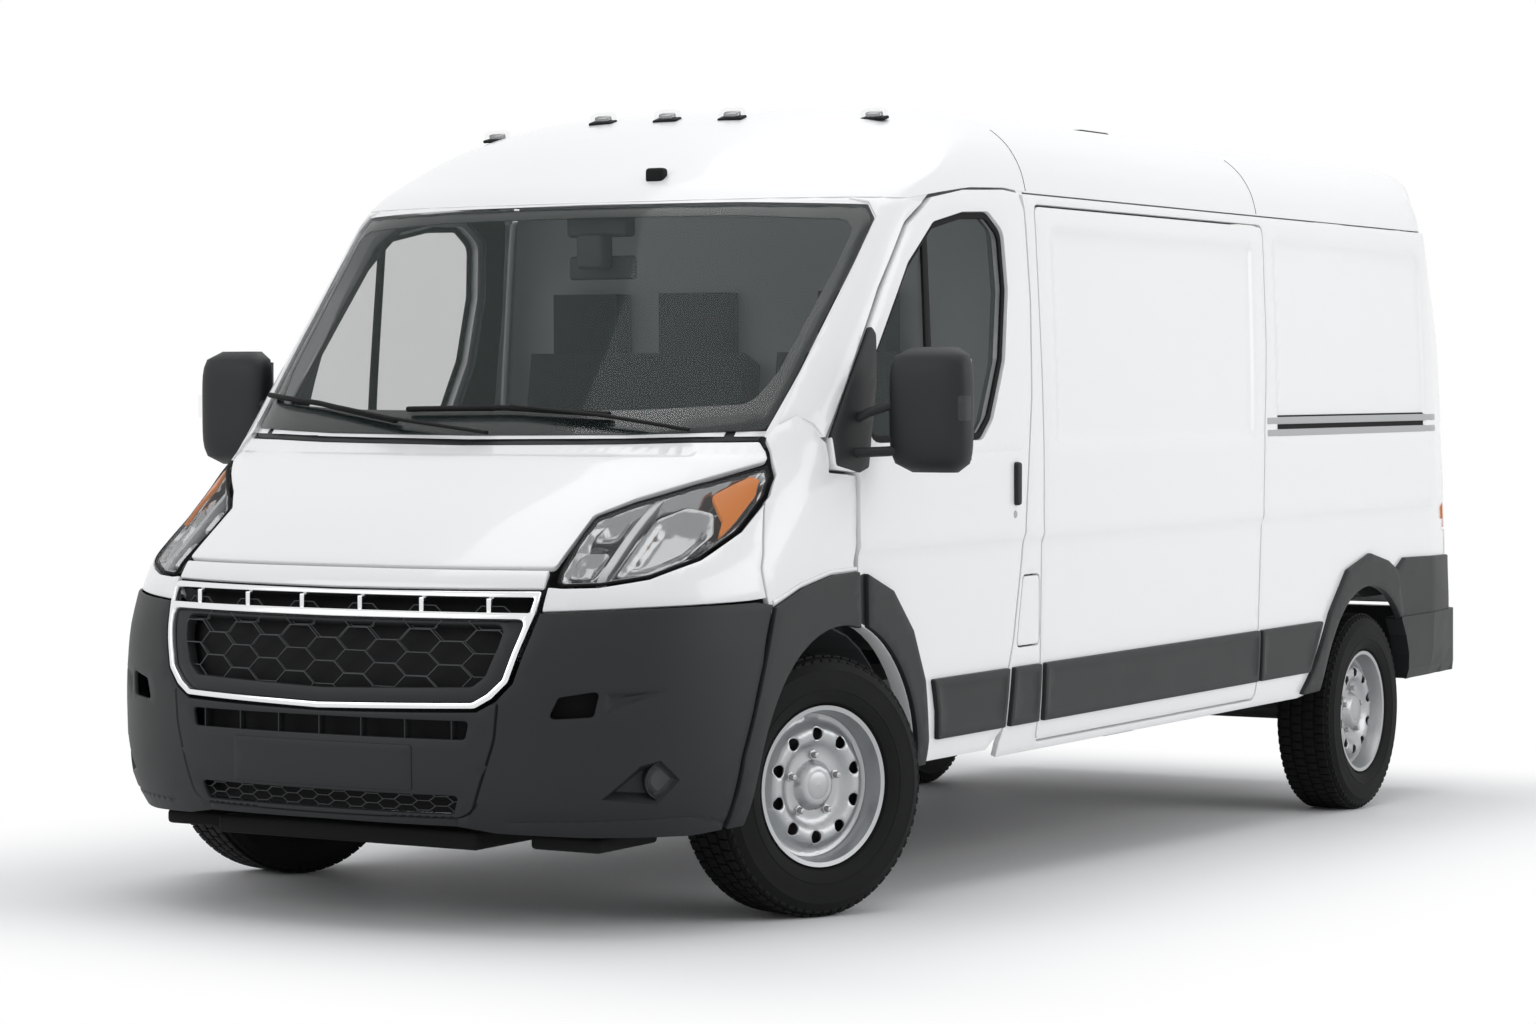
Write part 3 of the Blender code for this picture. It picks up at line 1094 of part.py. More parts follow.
def main():
    clear_scene()
    look = {
        "paint": material("white_paint", (.80, .81, .82), .25),
        "trim": material("dark_trim", (.045, .047, .050), .6),
        "chrome": material("bright_silver", (.72, .73, .74), .22, 1.0),
        "glass": material("window_glass", (.10, .12, .12), .05, 0.0, .35),
        "lens": material("lamp_lens", (.75, .77, .80), .08, 0.0, .5),
        "tail": material("tail_lens", (.55, .02, .02), .12),
        "tyre": material("tyre_rubber", (.022, .022, .023), .85),
        "wheel": material("wheel_silver", (.46, .47, .48), .42, .6),
        "frame": material("frame_black", (.03, .03, .032), .55),
        "iron": material("cast_iron", (.10, .10, .10), .6, .8),
        "alloy": material("cast_alloy", (.45, .45, .46), .5, .9),
        "steel": material("plain_steel", (.40, .40, .41), .4, .9),
        "cabin": material("cabin_plastic", (.05, .05, .055), .7),
        "cloth": material("seat_cloth", (.07, .07, .08), .95),
        "liner": material("grey_liner", (.42, .43, .44), .8),
    }
    vehicle = bpy.data.objects.new("vehicle", None)
    bpy.context.scene.collection.objects.link(vehicle)
    body = bpy.data.objects.new("body_rake", None)
    bpy.context.scene.collection.objects.link(body)
    body.parent = vehicle
    body.rotation_euler.x = RAKE
    skins = {
        "outer": skin("skin_outer"),
        "wall": skin("skin_wall", WALL, CUT * 2),
        "sheet": skin("skin_sheet", SHEET, CUT * 2),
        "recess": skin("skin_recess", RECESS_DEPTH, CUT * 2),
        "pocket": skin("skin_pocket", SHEET + FIT, CUT * 2),
        "root": skin("skin_root", WALL / 2, CUT * 2),
        "flare": skin("skin_flare", -FLARE_STAND),
        "moulding": skin("skin_moulding", -MOULDING_STAND),
        "glass_out": skin("skin_glass_out", GLASS_SINK),
        "glass_in": skin("skin_glass_in", GLASS_SINK + GLASS_THICK, CUT * 2),
        "lamp": skin("skin_lamp", LAMP_DEPTH, CUT * 2),
        "hood": skin("skin_hood", SHEET * 1.5, CUT * 2),
        "bumper": skin("skin_bumper", SHEET * 2, CUT * 2),
        "chrome": skin("skin_chrome", -SHEET / 2),
        "grille_front": skin("skin_grille_front", SHEET * 0.8),
        "grille_back": skin("skin_grille_back", SHEET * 2.4, CUT * 2),
        "liner": skin("skin_liner", WALL + FIT, CUT * 2),
    }
    hinges = bodies(vehicle, body)
    body_panels(look, skins, body)
    front_end(look, skins, body, hinges["hood_hinge"])
    doors(look, skins, body, hinges)
    running_gear(look, body, vehicle, {"left": hinges["steer_left"], "right": hinges["steer_right"]})
    cabin(look, skins, body)
    wheels(look, body, vehicle, hinges)
    for tool in skins.values():
        bpy.data.objects.remove(tool, do_unlink=True)
    centre_on_floor(vehicle)


def centre_on_floor(vehicle):
    """Sets the van so that its box stands centred on the origin."""
    bpy.context.view_layer.update()
    points = [item.matrix_world @ Vector(corner) for item in bpy.data.objects if item.type == "MESH"
              for corner in item.bound_box]
    lows = [min(point[at] for point in points) for at in range(3)]
    highs = [max(point[at] for point in points) for at in range(3)]
    vehicle.location = (0.0, -(lows[1] + highs[1]) / 2, -lows[2])
    bpy.context.view_layer.update()


main()
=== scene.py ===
# %% [markdown]
# # A white panel van, dressed for its photograph
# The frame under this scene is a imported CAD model: plain shells, hollow cab, wheels on real joints.
# Here each visible piece gets the finer form and the finish of the real one. The body panels are drawn
# again on one smooth skin, so that the light runs over their joins without a break.

# %% The frame
import math
import bpy
import bmesh
import numpy as np
from mathutils import Matrix, Vector
from mathutils.geometry import delaunay_2d_cdt


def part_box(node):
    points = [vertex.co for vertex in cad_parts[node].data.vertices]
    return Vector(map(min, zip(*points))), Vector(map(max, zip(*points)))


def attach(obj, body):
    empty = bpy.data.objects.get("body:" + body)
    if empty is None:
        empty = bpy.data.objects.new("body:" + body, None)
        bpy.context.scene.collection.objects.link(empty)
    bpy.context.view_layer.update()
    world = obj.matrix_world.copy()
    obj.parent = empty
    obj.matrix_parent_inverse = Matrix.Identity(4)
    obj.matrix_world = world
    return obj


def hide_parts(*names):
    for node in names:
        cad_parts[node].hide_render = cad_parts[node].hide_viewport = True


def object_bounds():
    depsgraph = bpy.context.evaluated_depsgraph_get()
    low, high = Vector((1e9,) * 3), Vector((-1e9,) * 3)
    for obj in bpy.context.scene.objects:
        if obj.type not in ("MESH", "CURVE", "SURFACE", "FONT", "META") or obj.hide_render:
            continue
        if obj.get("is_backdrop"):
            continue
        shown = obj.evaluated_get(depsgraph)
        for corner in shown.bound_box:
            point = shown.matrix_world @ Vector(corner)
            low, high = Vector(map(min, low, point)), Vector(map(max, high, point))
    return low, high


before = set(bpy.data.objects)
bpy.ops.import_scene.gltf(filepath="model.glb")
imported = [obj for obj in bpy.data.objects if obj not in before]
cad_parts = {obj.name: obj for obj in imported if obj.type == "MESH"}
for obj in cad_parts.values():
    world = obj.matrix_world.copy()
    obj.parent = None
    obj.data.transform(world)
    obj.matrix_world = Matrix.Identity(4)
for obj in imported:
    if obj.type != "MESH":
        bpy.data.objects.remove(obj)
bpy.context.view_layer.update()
WHEELBASE = 4.035
RAKE = 0.026
wheel_low, wheel_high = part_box("tyre_rear_left")
SHIFT = (wheel_low[1] + wheel_high[1]) / 2 - WHEELBASE
LEVEL = Matrix.Translation((0, SHIFT, 0))
BODY = LEVEL @ Matrix.Rotation(RAKE, 4, "X")
print("nodes", len(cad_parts), "shift", round(SHIFT, 4))

# %% [markdown]
# ## The camera
# The viewing angle was solved from wheel centres, the door edges and the lamps: a long lens, about
# ten metres away and a little over a metre up. A van looks wrong at once if the lens is too short, so the
# camera comes first.

# %% Camera
CAMERA_PLACE = Vector((5.949, -8.948, 1.230))
CAMERA_YAW, CAMERA_PITCH, CAMERA_ROLL = math.radians(-30.0), math.radians(0.68), math.radians(0.67)
FOCAL_PIXELS, FRAME_WIDTH, SENSOR = 3730.4, 1536, 36.0
FAR_CLIP = 200


def look_axes(yaw, pitch, roll):
    """The camera's right, up and backward directions."""
    ahead = Vector((math.sin(yaw) * math.cos(pitch), math.cos(yaw) * math.cos(pitch), -math.sin(pitch)))
    right = ahead.cross(Vector((0, 0, 1))).normalized()
    up = right.cross(ahead)
    turned_right = right * math.cos(roll) + up * math.sin(roll)
    turned_up = up * math.cos(roll) - right * math.sin(roll)
    return turned_right, turned_up, -ahead


lens = bpy.data.cameras.new("studio_camera")
lens.sensor_width = SENSOR
lens.lens = FOCAL_PIXELS * SENSOR / FRAME_WIDTH
lens.clip_end = FAR_CLIP
camera = bpy.data.objects.new("studio_camera", lens)
bpy.context.scene.collection.objects.link(camera)
place = CAMERA_PLACE + Vector((0, SHIFT, 0))
axes = look_axes(CAMERA_YAW, CAMERA_PITCH, CAMERA_ROLL)
camera.matrix_world = Matrix([(*(axis[k] for axis in axes), place[k]) for k in range(3)] + [(0, 0, 0, 1)])
bpy.context.scene.camera = camera
bpy.context.scene.view_settings.view_transform = "Standard"
print("lens", round(lens.lens, 2), "mm")

# %% [markdown]
# ## Finishes
# White paint is not flat: it has a faint orange-peel ripple under a clear coat. The dark plastic of bumpers
# and mouldings carries a fine grain, tyres are matt and dusty, and pressed wheels are silver paint with fine
# flake. Each finish is a few nodes on object coordinates, so it stays put when the van is seen from anywhere.

# %% Finish helpers
REFRACTION, GRAIN_DEPTH = 1.5, 0.0006


def add_node(tree, kind, settings=None, inputs=None):
    """A new node in a tree; an input is given as a value or as the socket that feeds it."""
    made = tree.nodes.new(kind)
    for name, value in (settings or {}).items():
        setattr(made, name, value)
    feed(tree, made, inputs or {})
    return made


def feed(tree, node, inputs):
    """Sets inputs of a node, or links them where a socket is given."""
    for name, value in inputs.items():
        if isinstance(value, bpy.types.NodeSocket):
            tree.links.new(value, node.inputs[name])
        else:
            node.inputs[name].default_value = value


def finish_material(name, colour, rough, metal=0.0, coat=0.0, coat_rough=0.03, spread=0.0, spread_scale=3.0,
                    grain=0.0, grain_scale=400.0, rough_spread=0.0, sheen=0.0, shine=0.5, alpha=1.0):
    """A principled finish with soft colour spread and a fine surface grain."""
    made = bpy.data.materials.new(name)
    made.use_nodes = True
    tree = made.node_tree
    shader = tree.nodes["Principled BSDF"]
    feed(tree, shader, {"Base Color": (*colour, 1), "Roughness": rough, "Metallic": metal, "Coat Weight": coat,
                        "Coat Roughness": coat_rough, "Sheen Weight": sheen, "IOR": REFRACTION,
                        "Specular IOR Level": shine, "Alpha": alpha})
    where = add_node(tree, "ShaderNodeTexCoord").outputs["Object"]
    if spread or rough_spread:
        cloud = add_node(tree, "ShaderNodeTexNoise", {}, {"Scale": spread_scale, "Detail": 4, "Vector": where})
    if spread:
        ramp = add_node(tree, "ShaderNodeMapRange", {}, {
            "To Min": 1 - spread, "To Max": 1 + spread, "Value": cloud.outputs["Fac"]})
        tint = add_node(tree, "ShaderNodeMix", {"data_type": "RGBA", "blend_type": "MULTIPLY"},
                        {"Factor": 1, "A": (*colour, 1), "B": ramp.outputs["Result"]})
        feed(tree, shader, {"Base Color": tint.outputs["Result"]})
    if rough_spread:
        polish = add_node(tree, "ShaderNodeMapRange", {}, {
            "To Min": rough - rough_spread, "To Max": rough + rough_spread, "Value": cloud.outputs["Fac"]})
        feed(tree, shader, {"Roughness": polish.outputs["Result"]})
    if grain:
        speck = add_node(tree, "ShaderNodeTexNoise", {}, {"Scale": grain_scale, "Detail": 2, "Vector": where})
        bump = add_node(tree, "ShaderNodeBump", {}, {
            "Strength": grain, "Distance": GRAIN_DEPTH, "Height": speck.outputs["Fac"]})
        feed(tree, shader, {"Normal": bump.outputs["Normal"]})
    return made


# %% Finishes
WHITE = finish_material("white_paint", (0.80, 0.805, 0.81), 0.32, coat=0.6, coat_rough=0.06, spread=0.012,
                        spread_scale=1.3, grain=0.04, grain_scale=90)
DARK = finish_material("dark_trim", (0.0160, 0.0172, 0.0182), 0.50, shine=0.28, spread=0.06, spread_scale=6,
                       grain=0.35, grain_scale=900, rough_spread=0.05)
GLOSS_BLACK = finish_material("gloss_black", (0.012, 0.013, 0.014), 0.18, coat=0.5, spread=0.05, grain=0.03)
SEAL = finish_material("black_seal", (0.006, 0.006, 0.0065), 0.75, shine=0.2, spread=0.1, grain=0.2,
                       grain_scale=600)
MESH_GREY = finish_material("mesh_grey", (0.045, 0.048, 0.050), 0.45, spread=0.08, grain=0.2)
CHROME = finish_material("satin_silver", (0.78, 0.79, 0.80), 0.16, metal=1.0, spread=0.02, grain=0.03,
                         rough_spread=0.03)
WHEEL = finish_material("wheel_silver", (0.40, 0.41, 0.42), 0.36, metal=0.75, spread=0.05, spread_scale=9,
                        grain=0.12, grain_scale=1400, rough_spread=0.05)
TYRE = finish_material("tyre_rubber", (0.0060, 0.0062, 0.0064), 0.75, shine=0.18, spread=0.18, spread_scale=7,
                       grain=0.3, grain_scale=500, rough_spread=0.08)
STEEL = finish_material("plain_steel", (0.42, 0.42, 0.43), 0.38, metal=0.9, spread=0.12, spread_scale=10,
                        rough_spread=0.1)
IRON = finish_material("cast_iron", (0.075, 0.075, 0.078), 0.62, metal=0.6, spread=0.2, spread_scale=14,
                       grain=0.5, grain_scale=220)
ALLOY = finish_material("cast_alloy", (0.38, 0.385, 0.39), 0.5, metal=0.85, spread=0.1, spread_scale=14,
                        grain=0.4, grain_scale=260)
FRAME_BLACK = finish_material("frame_black", (0.022, 0.022, 0.024), 0.55, spread=0.15, spread_scale=8,
                              grain=0.2, grain_scale=300)
CABIN = finish_material("cabin_plastic", (0.040, 0.042, 0.046), 0.68, spread=0.08, grain=0.4, grain_scale=700)
CLOTH = finish_material("seat_cloth", (0.060, 0.064, 0.072), 0.92, spread=0.15, spread_scale=30, grain=0.6,
                        grain_scale=260, sheen=0.3)
LINER = finish_material("grey_liner", (0.50, 0.51, 0.52), 0.75, spread=0.04, grain=0.3, grain_scale=500)
REFLECTOR = finish_material("lamp_reflector", (0.27, 0.275, 0.28), 0.16, metal=1.0, spread=0.02)
AMBER = finish_material("amber_lens", (0.62, 0.17, 0.001), 0.35, shine=0.3, spread=0.06, spread_scale=60,
                        grain=0.3, grain_scale=160)
RED_LENS = finish_material("red_lens", (0.42, 0.012, 0.012), 0.14, coat=0.6, spread=0.06, spread_scale=40,
                           grain=0.25, grain_scale=150)
# Thin glass is mostly see-through, with a sharp reflection on top.
GLASS = finish_material("window_glass", (0.035, 0.055, 0.050), 0.02, alpha=0.17)
LENS = finish_material("clear_lens", (0.40, 0.42, 0.43), 0.02, alpha=0.06)

BY_SLOT = {"white_paint": WHITE, "dark_trim": DARK, "bright_silver": CHROME, "window_glass": GLASS,
           "lamp_lens": LENS, "tail_lens": RED_LENS, "tyre_rubber": TYRE, "wheel_silver": WHEEL,
           "frame_black": FRAME_BLACK, "cast_iron": IRON, "cast_alloy": ALLOY, "plain_steel": STEEL,
           "cabin_plastic": CABIN, "seat_cloth": CLOTH, "grey_liner": LINER}
SLOT_OF = {material: slot for slot, material in BY_SLOT.items()}
SLOT_OF.update({GLOSS_BLACK: "dark_trim", SEAL: "dark_trim", MESH_GREY: "dark_trim", REFLECTOR: "bright_silver",
                AMBER: "lamp_lens"})
print("finishes", len(bpy.data.materials))

# %% [markdown]
# ## One skin for the whole body
# A van's body is pressed so that light flows over door, post and side as one surface. So one surface comes
# first, and every panel is cut from it. At each height the plan view is a rounded nose, a straight side that
# draws in a little, and a rounded tail corner. The table gives that plan at chosen heights and a smooth curve
# runs between them, without overshoot, so the flat waist stays flat.

# %% Skin table
# Each row: height, nose, half width, wrap depth, bow and tail half width, as shares of the sizes below.
HEIGHT, NOSE, HALF = 2.32, 0.985, 1.0
SKIN = np.array((
    (.103, -.944, .930, .70, 2.5, .955), (.164, -.995, .985, .70, 2.5, .970), (.194, -1.0, .995, .70, 2.5, .970),
    (.259, -1.0, 1.0, .70, 2.5, .970), (.323, -.987, 1.0, .70, 2.5, .965), (.373, -.949, 1.0, .70, 2.5, .962),
    (.416, -.898, 1.0, .72, 2.5, .957), (.431, -.853, 1.0, .72, 2.5, .955), (.453, -.777, .998, .70, 2.5, .953),
    (.483, -.665, .997, .66, 2.55, .950), (.517, -.513, .996, .58, 2.7, .943), (.543, -.391, .995, .52, 2.85, .940),
    (.565, -.310, .993, .47, 3.0, .937), (.625, -.168, .988, .44, 3.1, .930), (.690, -.020, .980, .42, 3.3, .920),
    (.776, .173, .968, .38, 3.4, .895), (.856, .350, .955, .35, 3.5, .860), (.877, .406, .948, .36, 3.3, .848),
    (.905, .508, .932, .40, 3.0, .832), (.935, .629, .895, .45, 2.9, .815), (.957, .731, .845, .50, 2.8, .795),
    (.974, .832, .78, .52, 2.7, .755), (.987, .944, .69, .50, 2.6, .69), (.9935, 1.066, .58, .45, 2.6, .60),
    (1.0, 1.32, .30, .30, 2.6, .35)))
SKIN = SKIN * np.array((HEIGHT, NOSE, HALF, 1, 1, HALF))
TAPER_START, TAPER_POWER, TAIL_END, TAIL_ROUND, TAIL_TOP_ROUND = 4.72, 1.3, 5.05, 0.07, 0.10
WRAP_WIDTH = 1.2


def smooth_table(places, values):
    """Slopes of a curve through a table that never overshoots it."""
    steps = np.diff(places)
    rises = np.diff(values) / steps
    slopes = np.zeros(len(places))
    for at in range(1, len(places) - 1):
        if rises[at - 1] * rises[at] > 0:
            near, far = 2 * steps[at] + steps[at - 1], steps[at] + 2 * steps[at - 1]
            slopes[at] = (near + far) / (near / rises[at - 1] + far / rises[at])
    slopes[0], slopes[-1] = rises[0], rises[-1]
    return slopes


SLOPES = [smooth_table(SKIN[:, 0], SKIN[:, column]) for column in range(1, 6)]


def levels_at(z):
    """Nose, half width, wrap depth, bow and tail half width at heights."""
    z = np.clip(z, SKIN[0, 0], SKIN[-1, 0])
    at = np.clip(np.searchsorted(SKIN[:, 0], z) - 1, 0, len(SKIN) - 2)
    step = SKIN[at + 1, 0] - SKIN[at, 0]
    share = (z - SKIN[at, 0]) / step
    low, high = 2 * share ** 3 - 3 * share ** 2 + 1, -2 * share ** 3 + 3 * share ** 2
    leave, arrive = share ** 3 - 2 * share ** 2 + share, share ** 3 - share ** 2
    return [low * SKIN[at, column] + high * SKIN[at + 1, column]
            + step * (leave * SLOPES[column - 1][at] + arrive * SLOPES[column - 1][at + 1]) for column in range(1, 6)]


def tail_at(z):
    """How far back the tail reaches at heights."""
    top = np.clip((z - (HEIGHT - TAIL_TOP_ROUND)) / TAIL_TOP_ROUND, 0, 1)
    return TAIL_END - TAIL_TOP_ROUND * (1 - np.sqrt(1 - top ** 2))


def half_at(s, z, half, tail):
    """Half width along the side, with the draw-in towards the tail."""
    run = np.clip((s - TAPER_START) / (tail_at(z) - TAIL_ROUND - TAPER_START), 0, 1)
    return half - (half - tail) * run ** TAPER_POWER


def skin_point(w, z):
    """A point of the skin. Round the nose w runs to the wrap width, then it counts along the side."""
    nose, half, wrap, bow, tail = levels_at(z)
    angle = np.clip(np.abs(w) / WRAP_WIDTH, 0, 1) * math.pi / 2
    beyond = np.maximum(np.abs(w) - WRAP_WIDTH, 0)
    s = nose + wrap * (1 - np.cos(angle) ** (2 / bow)) + beyond
    x = np.where(beyond > 0, half_at(s, z, half, tail), half * np.sin(angle) ** (2 / bow))
    return np.stack((x * np.sign(w + 1e-12), s, z), axis=-1)


def back_point(x, z):
    """A point of the tail face, rounded towards the corner."""
    over = np.clip((np.abs(x) - (levels_at(z)[4] - TAIL_ROUND)) / TAIL_ROUND, 0, 1)
    return np.stack((x, tail_at(z) - TAIL_ROUND * (1 - np.sqrt(1 - over ** 2)), z), axis=-1)


def from_front(x, z):
    """The skin's own coordinates of what is seen from the front at x and z."""
    _, half, _, bow, _ = levels_at(z)
    angle = np.arcsin(np.clip(np.abs(x) / half, 0, 1) ** (bow / 2))
    return np.stack((np.sign(x) * angle / (math.pi / 2) * WRAP_WIDTH, z), axis=-1)


def from_side(s, z):
    """The skin's own coordinates of what is seen from the left at s and z."""
    nose, _, wrap, bow, _ = levels_at(z)
    share = np.clip((s - nose) / wrap, 0, 1)
    angle = np.arccos((1 - share) ** (bow / 2))
    return np.stack((angle / (math.pi / 2) * WRAP_WIDTH + np.maximum(s - nose - wrap, 0), z), axis=-1)


def flat_pair(across, z):
    """Coordinates that need no change."""
    return np.stack((across, z), axis=-1)


SURFACES = {"front": (from_front, skin_point), "side": (from_side, skin_point), "back": (flat_pair, back_point),
            "skin": (flat_pair, skin_point)}
print("skin at the waist", skin_point(np.array([0.0, 1.2, 3.0]), np.array([1.0, 1.0, 1.0])).round(3).tolist())

# %% [markdown]
# ## Cutting a panel
# A pressed panel ends in a small rolled edge, and the dark line between two panels is what the eye reads as
# build quality. Each panel is an outline, rounded at its corners and drawn on the skin, filled with a regular
# grid of points. Two loops just inside the edge make the roll, and a second layer closes it from behind.

# %% Outlines
STRAIGHT_FROM, MOST_OF_EDGE, SHARPEST = math.radians(176), 0.48, 0.35


def rounded(outline, radius, steps=5):
    """An outline with its corners drawn as arcs; a radius per corner or one for all."""
    points = [np.array(point, float) for point in outline]
    radii = radius if isinstance(radius, (list, tuple)) else [radius] * len(points)
    made = []
    for at, corner in enumerate(points):
        back, ahead = points[at - 1] - corner, points[(at + 1) % len(points)] - corner
        long_back, long_ahead = np.linalg.norm(back), np.linalg.norm(ahead)
        turn = math.acos(max(-1.0, min(1.0, float(back @ ahead) / (long_back * long_ahead))))
        if radii[at] <= 0 or turn > STRAIGHT_FROM:
            made.append(corner)
            continue
        reach = min(radii[at] / math.tan(turn / 2), long_back * MOST_OF_EDGE, long_ahead * MOST_OF_EDGE)
        start, end = corner + back / long_back * reach, corner + ahead / long_ahead * reach
        for step in range(steps + 1):
            share = step / steps
            made.append((1 - share) ** 2 * start + 2 * share * (1 - share) * corner + share ** 2 * end)
    return made


def densified(points, spacing):
    """The outline with long edges split."""
    made = []
    for at, point in enumerate(points):
        point, after = np.array(point), np.array(points[(at + 1) % len(points)])
        count = max(1, int(math.ceil(np.linalg.norm(after - point) / spacing)))
        made += [point * (1 - step / count) + after * step / count for step in range(count)]
    return made


def grown(points, margin):
    """An outline moved outwards, or inwards with a negative margin."""
    area = sum(a[0] * b[1] - b[0] * a[1] for a, b in zip(points, list(points[1:]) + [points[0]]))
    side = 1 if area > 0 else -1
    made = []
    for at, point in enumerate(points):
        back = np.array(point) - points[at - 1]
        ahead = np.array(points[(at + 1) % len(points)]) - point
        back, ahead = back / max(np.linalg.norm(back), 1e-9), ahead / max(np.linalg.norm(ahead), 1e-9)
        out = np.array((back[1] + ahead[1], -back[0] - ahead[0])) * side
        made.append(np.array(point) + out * margin / max(1 + float(back @ ahead), SHARPEST))
    return made


def inside(points, outline):
    """Which points lie within an outline."""
    x, y = points[:, 0], points[:, 1]
    found = np.zeros(len(points), bool)
    for (ax, ay), (bx, by) in zip(outline, list(outline[1:]) + [outline[0]]):
        crosses = (ay > y) != (by > y)
        if abs(by - ay) > 1e-12:
            found ^= crosses & (x < (bx - ax) * (y - ay) / (by - ay) + ax)
    return found


def distance_to(points, line, ring=True):
    """How far points lie from an outline, or from an open line."""
    best = np.full(len(points), 1e9)
    for a, b in zip(line, list(line[1:]) + ([line[0]] if ring else [])):
        a, b = np.array(a), np.array(b)
        run = b - a
        share = np.clip(((points - a) @ run) / max(float(run @ run), 1e-12), 0, 1)
        best = np.minimum(best, np.linalg.norm(points - a - share[:, None] * run, axis=1))
    return best


def both(half):
    """A half outline from the middle outwards, with its mirror image."""
    return list(half) + [(-x, z) for x, z in reversed(half) if x > 0]


def left_of(outline):
    """An outline on the other side, in the same sense of rotation."""
    return [(-x, z) for x, z in reversed(outline)]


def front_ring(*outline):
    """Skin coordinates of places seen from the front."""
    return [tuple(from_front(x, z)) for x, z in outline]


def side_ring(*outline):
    """Skin coordinates of places seen from the left."""
    return [tuple(from_side(s, z)) for s, z in outline]


def arc(centre_s, centre_z, radius, start, end, steps=24):
    """Points of an arc, angles in degrees from the rearward direction."""
    turns = np.radians(np.linspace(start, end, steps))
    return [(centre_s + radius * math.cos(t), centre_z + radius * math.sin(t)) for t in turns]


# %% Fields that press a shape into a panel
LINE_START, LINE_END = -1.5, 5.2


def eased(share):
    """A soft step from nought to one."""
    share = np.clip(share, 0, 1)
    return share * share * (3 - 2 * share)


def pressed(outline, depth, width):
    """A field that steps a panel in by a depth over a width inside an outline."""
    def field(places):
        return np.where(inside(places, outline), depth * eased(distance_to(places, outline) / width), 0.0)
    return field, [outline, grown(outline, -width / 2), grown(outline, -width)]


def step_between(low, high, depth):
    """A field that steps a panel in above a level."""
    middle = (low + high) / 2

    def field(places):
        return depth * eased((places[:, 1] - low) / (high - low))
    return field, [("line", [(LINE_START, middle), (LINE_END, middle)], (high - low) / 2)]


def groove(line, depth, width):
    """A field that draws a fine line into a panel along points."""
    def field(places):
        return depth * np.clip(1 - distance_to(places, line, ring=False) / width, 0, 1)
    return field, [("line", line, width)]


# %% Solids from surfaces
def linked(name, mesh):
    """An object at the origin for a mesh."""
    made = bpy.data.objects.new(name, mesh)
    bpy.context.scene.collection.objects.link(made)
    return made


def mesh_object(name, points, faces, material, smooth_angle=42):
    """A mesh object at the origin with one finish."""
    mesh = bpy.data.meshes.new(name)
    mesh.from_pydata([tuple(point) for point in points], [], [tuple(int(v) for v in face) for face in faces])
    mesh.validate()
    shape = bmesh.new()
    shape.from_mesh(mesh)
    bmesh.ops.recalc_face_normals(shape, faces=shape.faces)
    shape.to_mesh(mesh)
    shape.free()
    mesh.shade_smooth()
    mesh.set_sharp_from_angle(angle=math.radians(smooth_angle))
    mesh.materials.append(material)
    return linked(name, mesh)


def closed(name, top, normal, faces, thick, material):
    """A sheet with thickness: the faces, the same from behind, and a wall along every open edge."""
    count = len(top)
    solid = [tuple(face) for face in faces] + [tuple(v + count for v in reversed(face)) for face in faces]
    directed = {(face[at], face[(at + 1) % len(face)]) for face in faces for at in range(len(face))}
    solid += [(b, a, a + count, b + count) for a, b in sorted(directed) if (b, a) not in directed]
    return mesh_object(name, np.concatenate((top, top - normal * thick)), solid, material)


def mirror(mesh):
    """Turns a mesh into its mirror image, with its faces turned back outwards."""
    mesh.transform(Matrix.Scale(-1, 4, (1, 0, 0)))
    mesh.flip_normals()


def seat(piece, body, *nodes, slot=None, level=False):
    """Turns a piece from the body's own frame into the world and hangs it on its body; its slot is not used."""
    piece.data.transform(LEVEL if level else BODY)
    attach(piece, body)
    if nodes:
        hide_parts(*nodes)


def seat_pair(piece, body, *nodes, slot=None):
    """Seats a left-hand piece and its mirror image; names ending in left change to right."""
    mesh = piece.data.copy()
    mesh.name = piece.name.replace("left", "right")
    mirror(mesh)
    other = linked(mesh.name, mesh)
    seat(piece, body, *nodes, slot=slot)
    seat(other, body.replace("left", "right"), *[node.replace("left", "right") for node in nodes], slot=slot)


# %% Panels
ROLLED_SHARE, RIM_SPACING, HOLE_SPACING, CLEAR_SHARE = 0.3, 0.7, 0.5, 0.33
MERGE_WITHIN, NUDGE, NOSE_HEART = 1e-7, 1e-3, 0.6


def edge_loops(outline, holes, radius, roll, spacing):
    """The outline and its holes, each with two loops inside that make the rolled edge."""
    rims = [densified(rounded(outline, radius), spacing * RIM_SPACING)]
    rims += [densified(hole, spacing * HOLE_SPACING) for hole in holes]
    loops, drops = [], []
    for number, rim in enumerate(rims):
        side = -1 if number == 0 else 1
        for inset, drop in ((0.0, roll), (roll * ROLLED_SHARE, roll * ROLLED_SHARE), (roll, 0.0)):
            loops.append(rim if inset == 0 else grown(rim, side * inset))
            drops.append(drop)
    return rims, loops, drops


def beside(line, offset, spacing):
    """Points along a line, moved sideways."""
    made, points = [], [np.array(point, float) for point in line]
    for a, b in zip(points, points[1:]):
        run = b - a
        across = np.array((-run[1], run[0])) / np.linalg.norm(run) * offset
        count = max(1, int(np.linalg.norm(run) / spacing))
        made += [a + run * (step + 0.5) / count + across for step in range(count)]
    return made


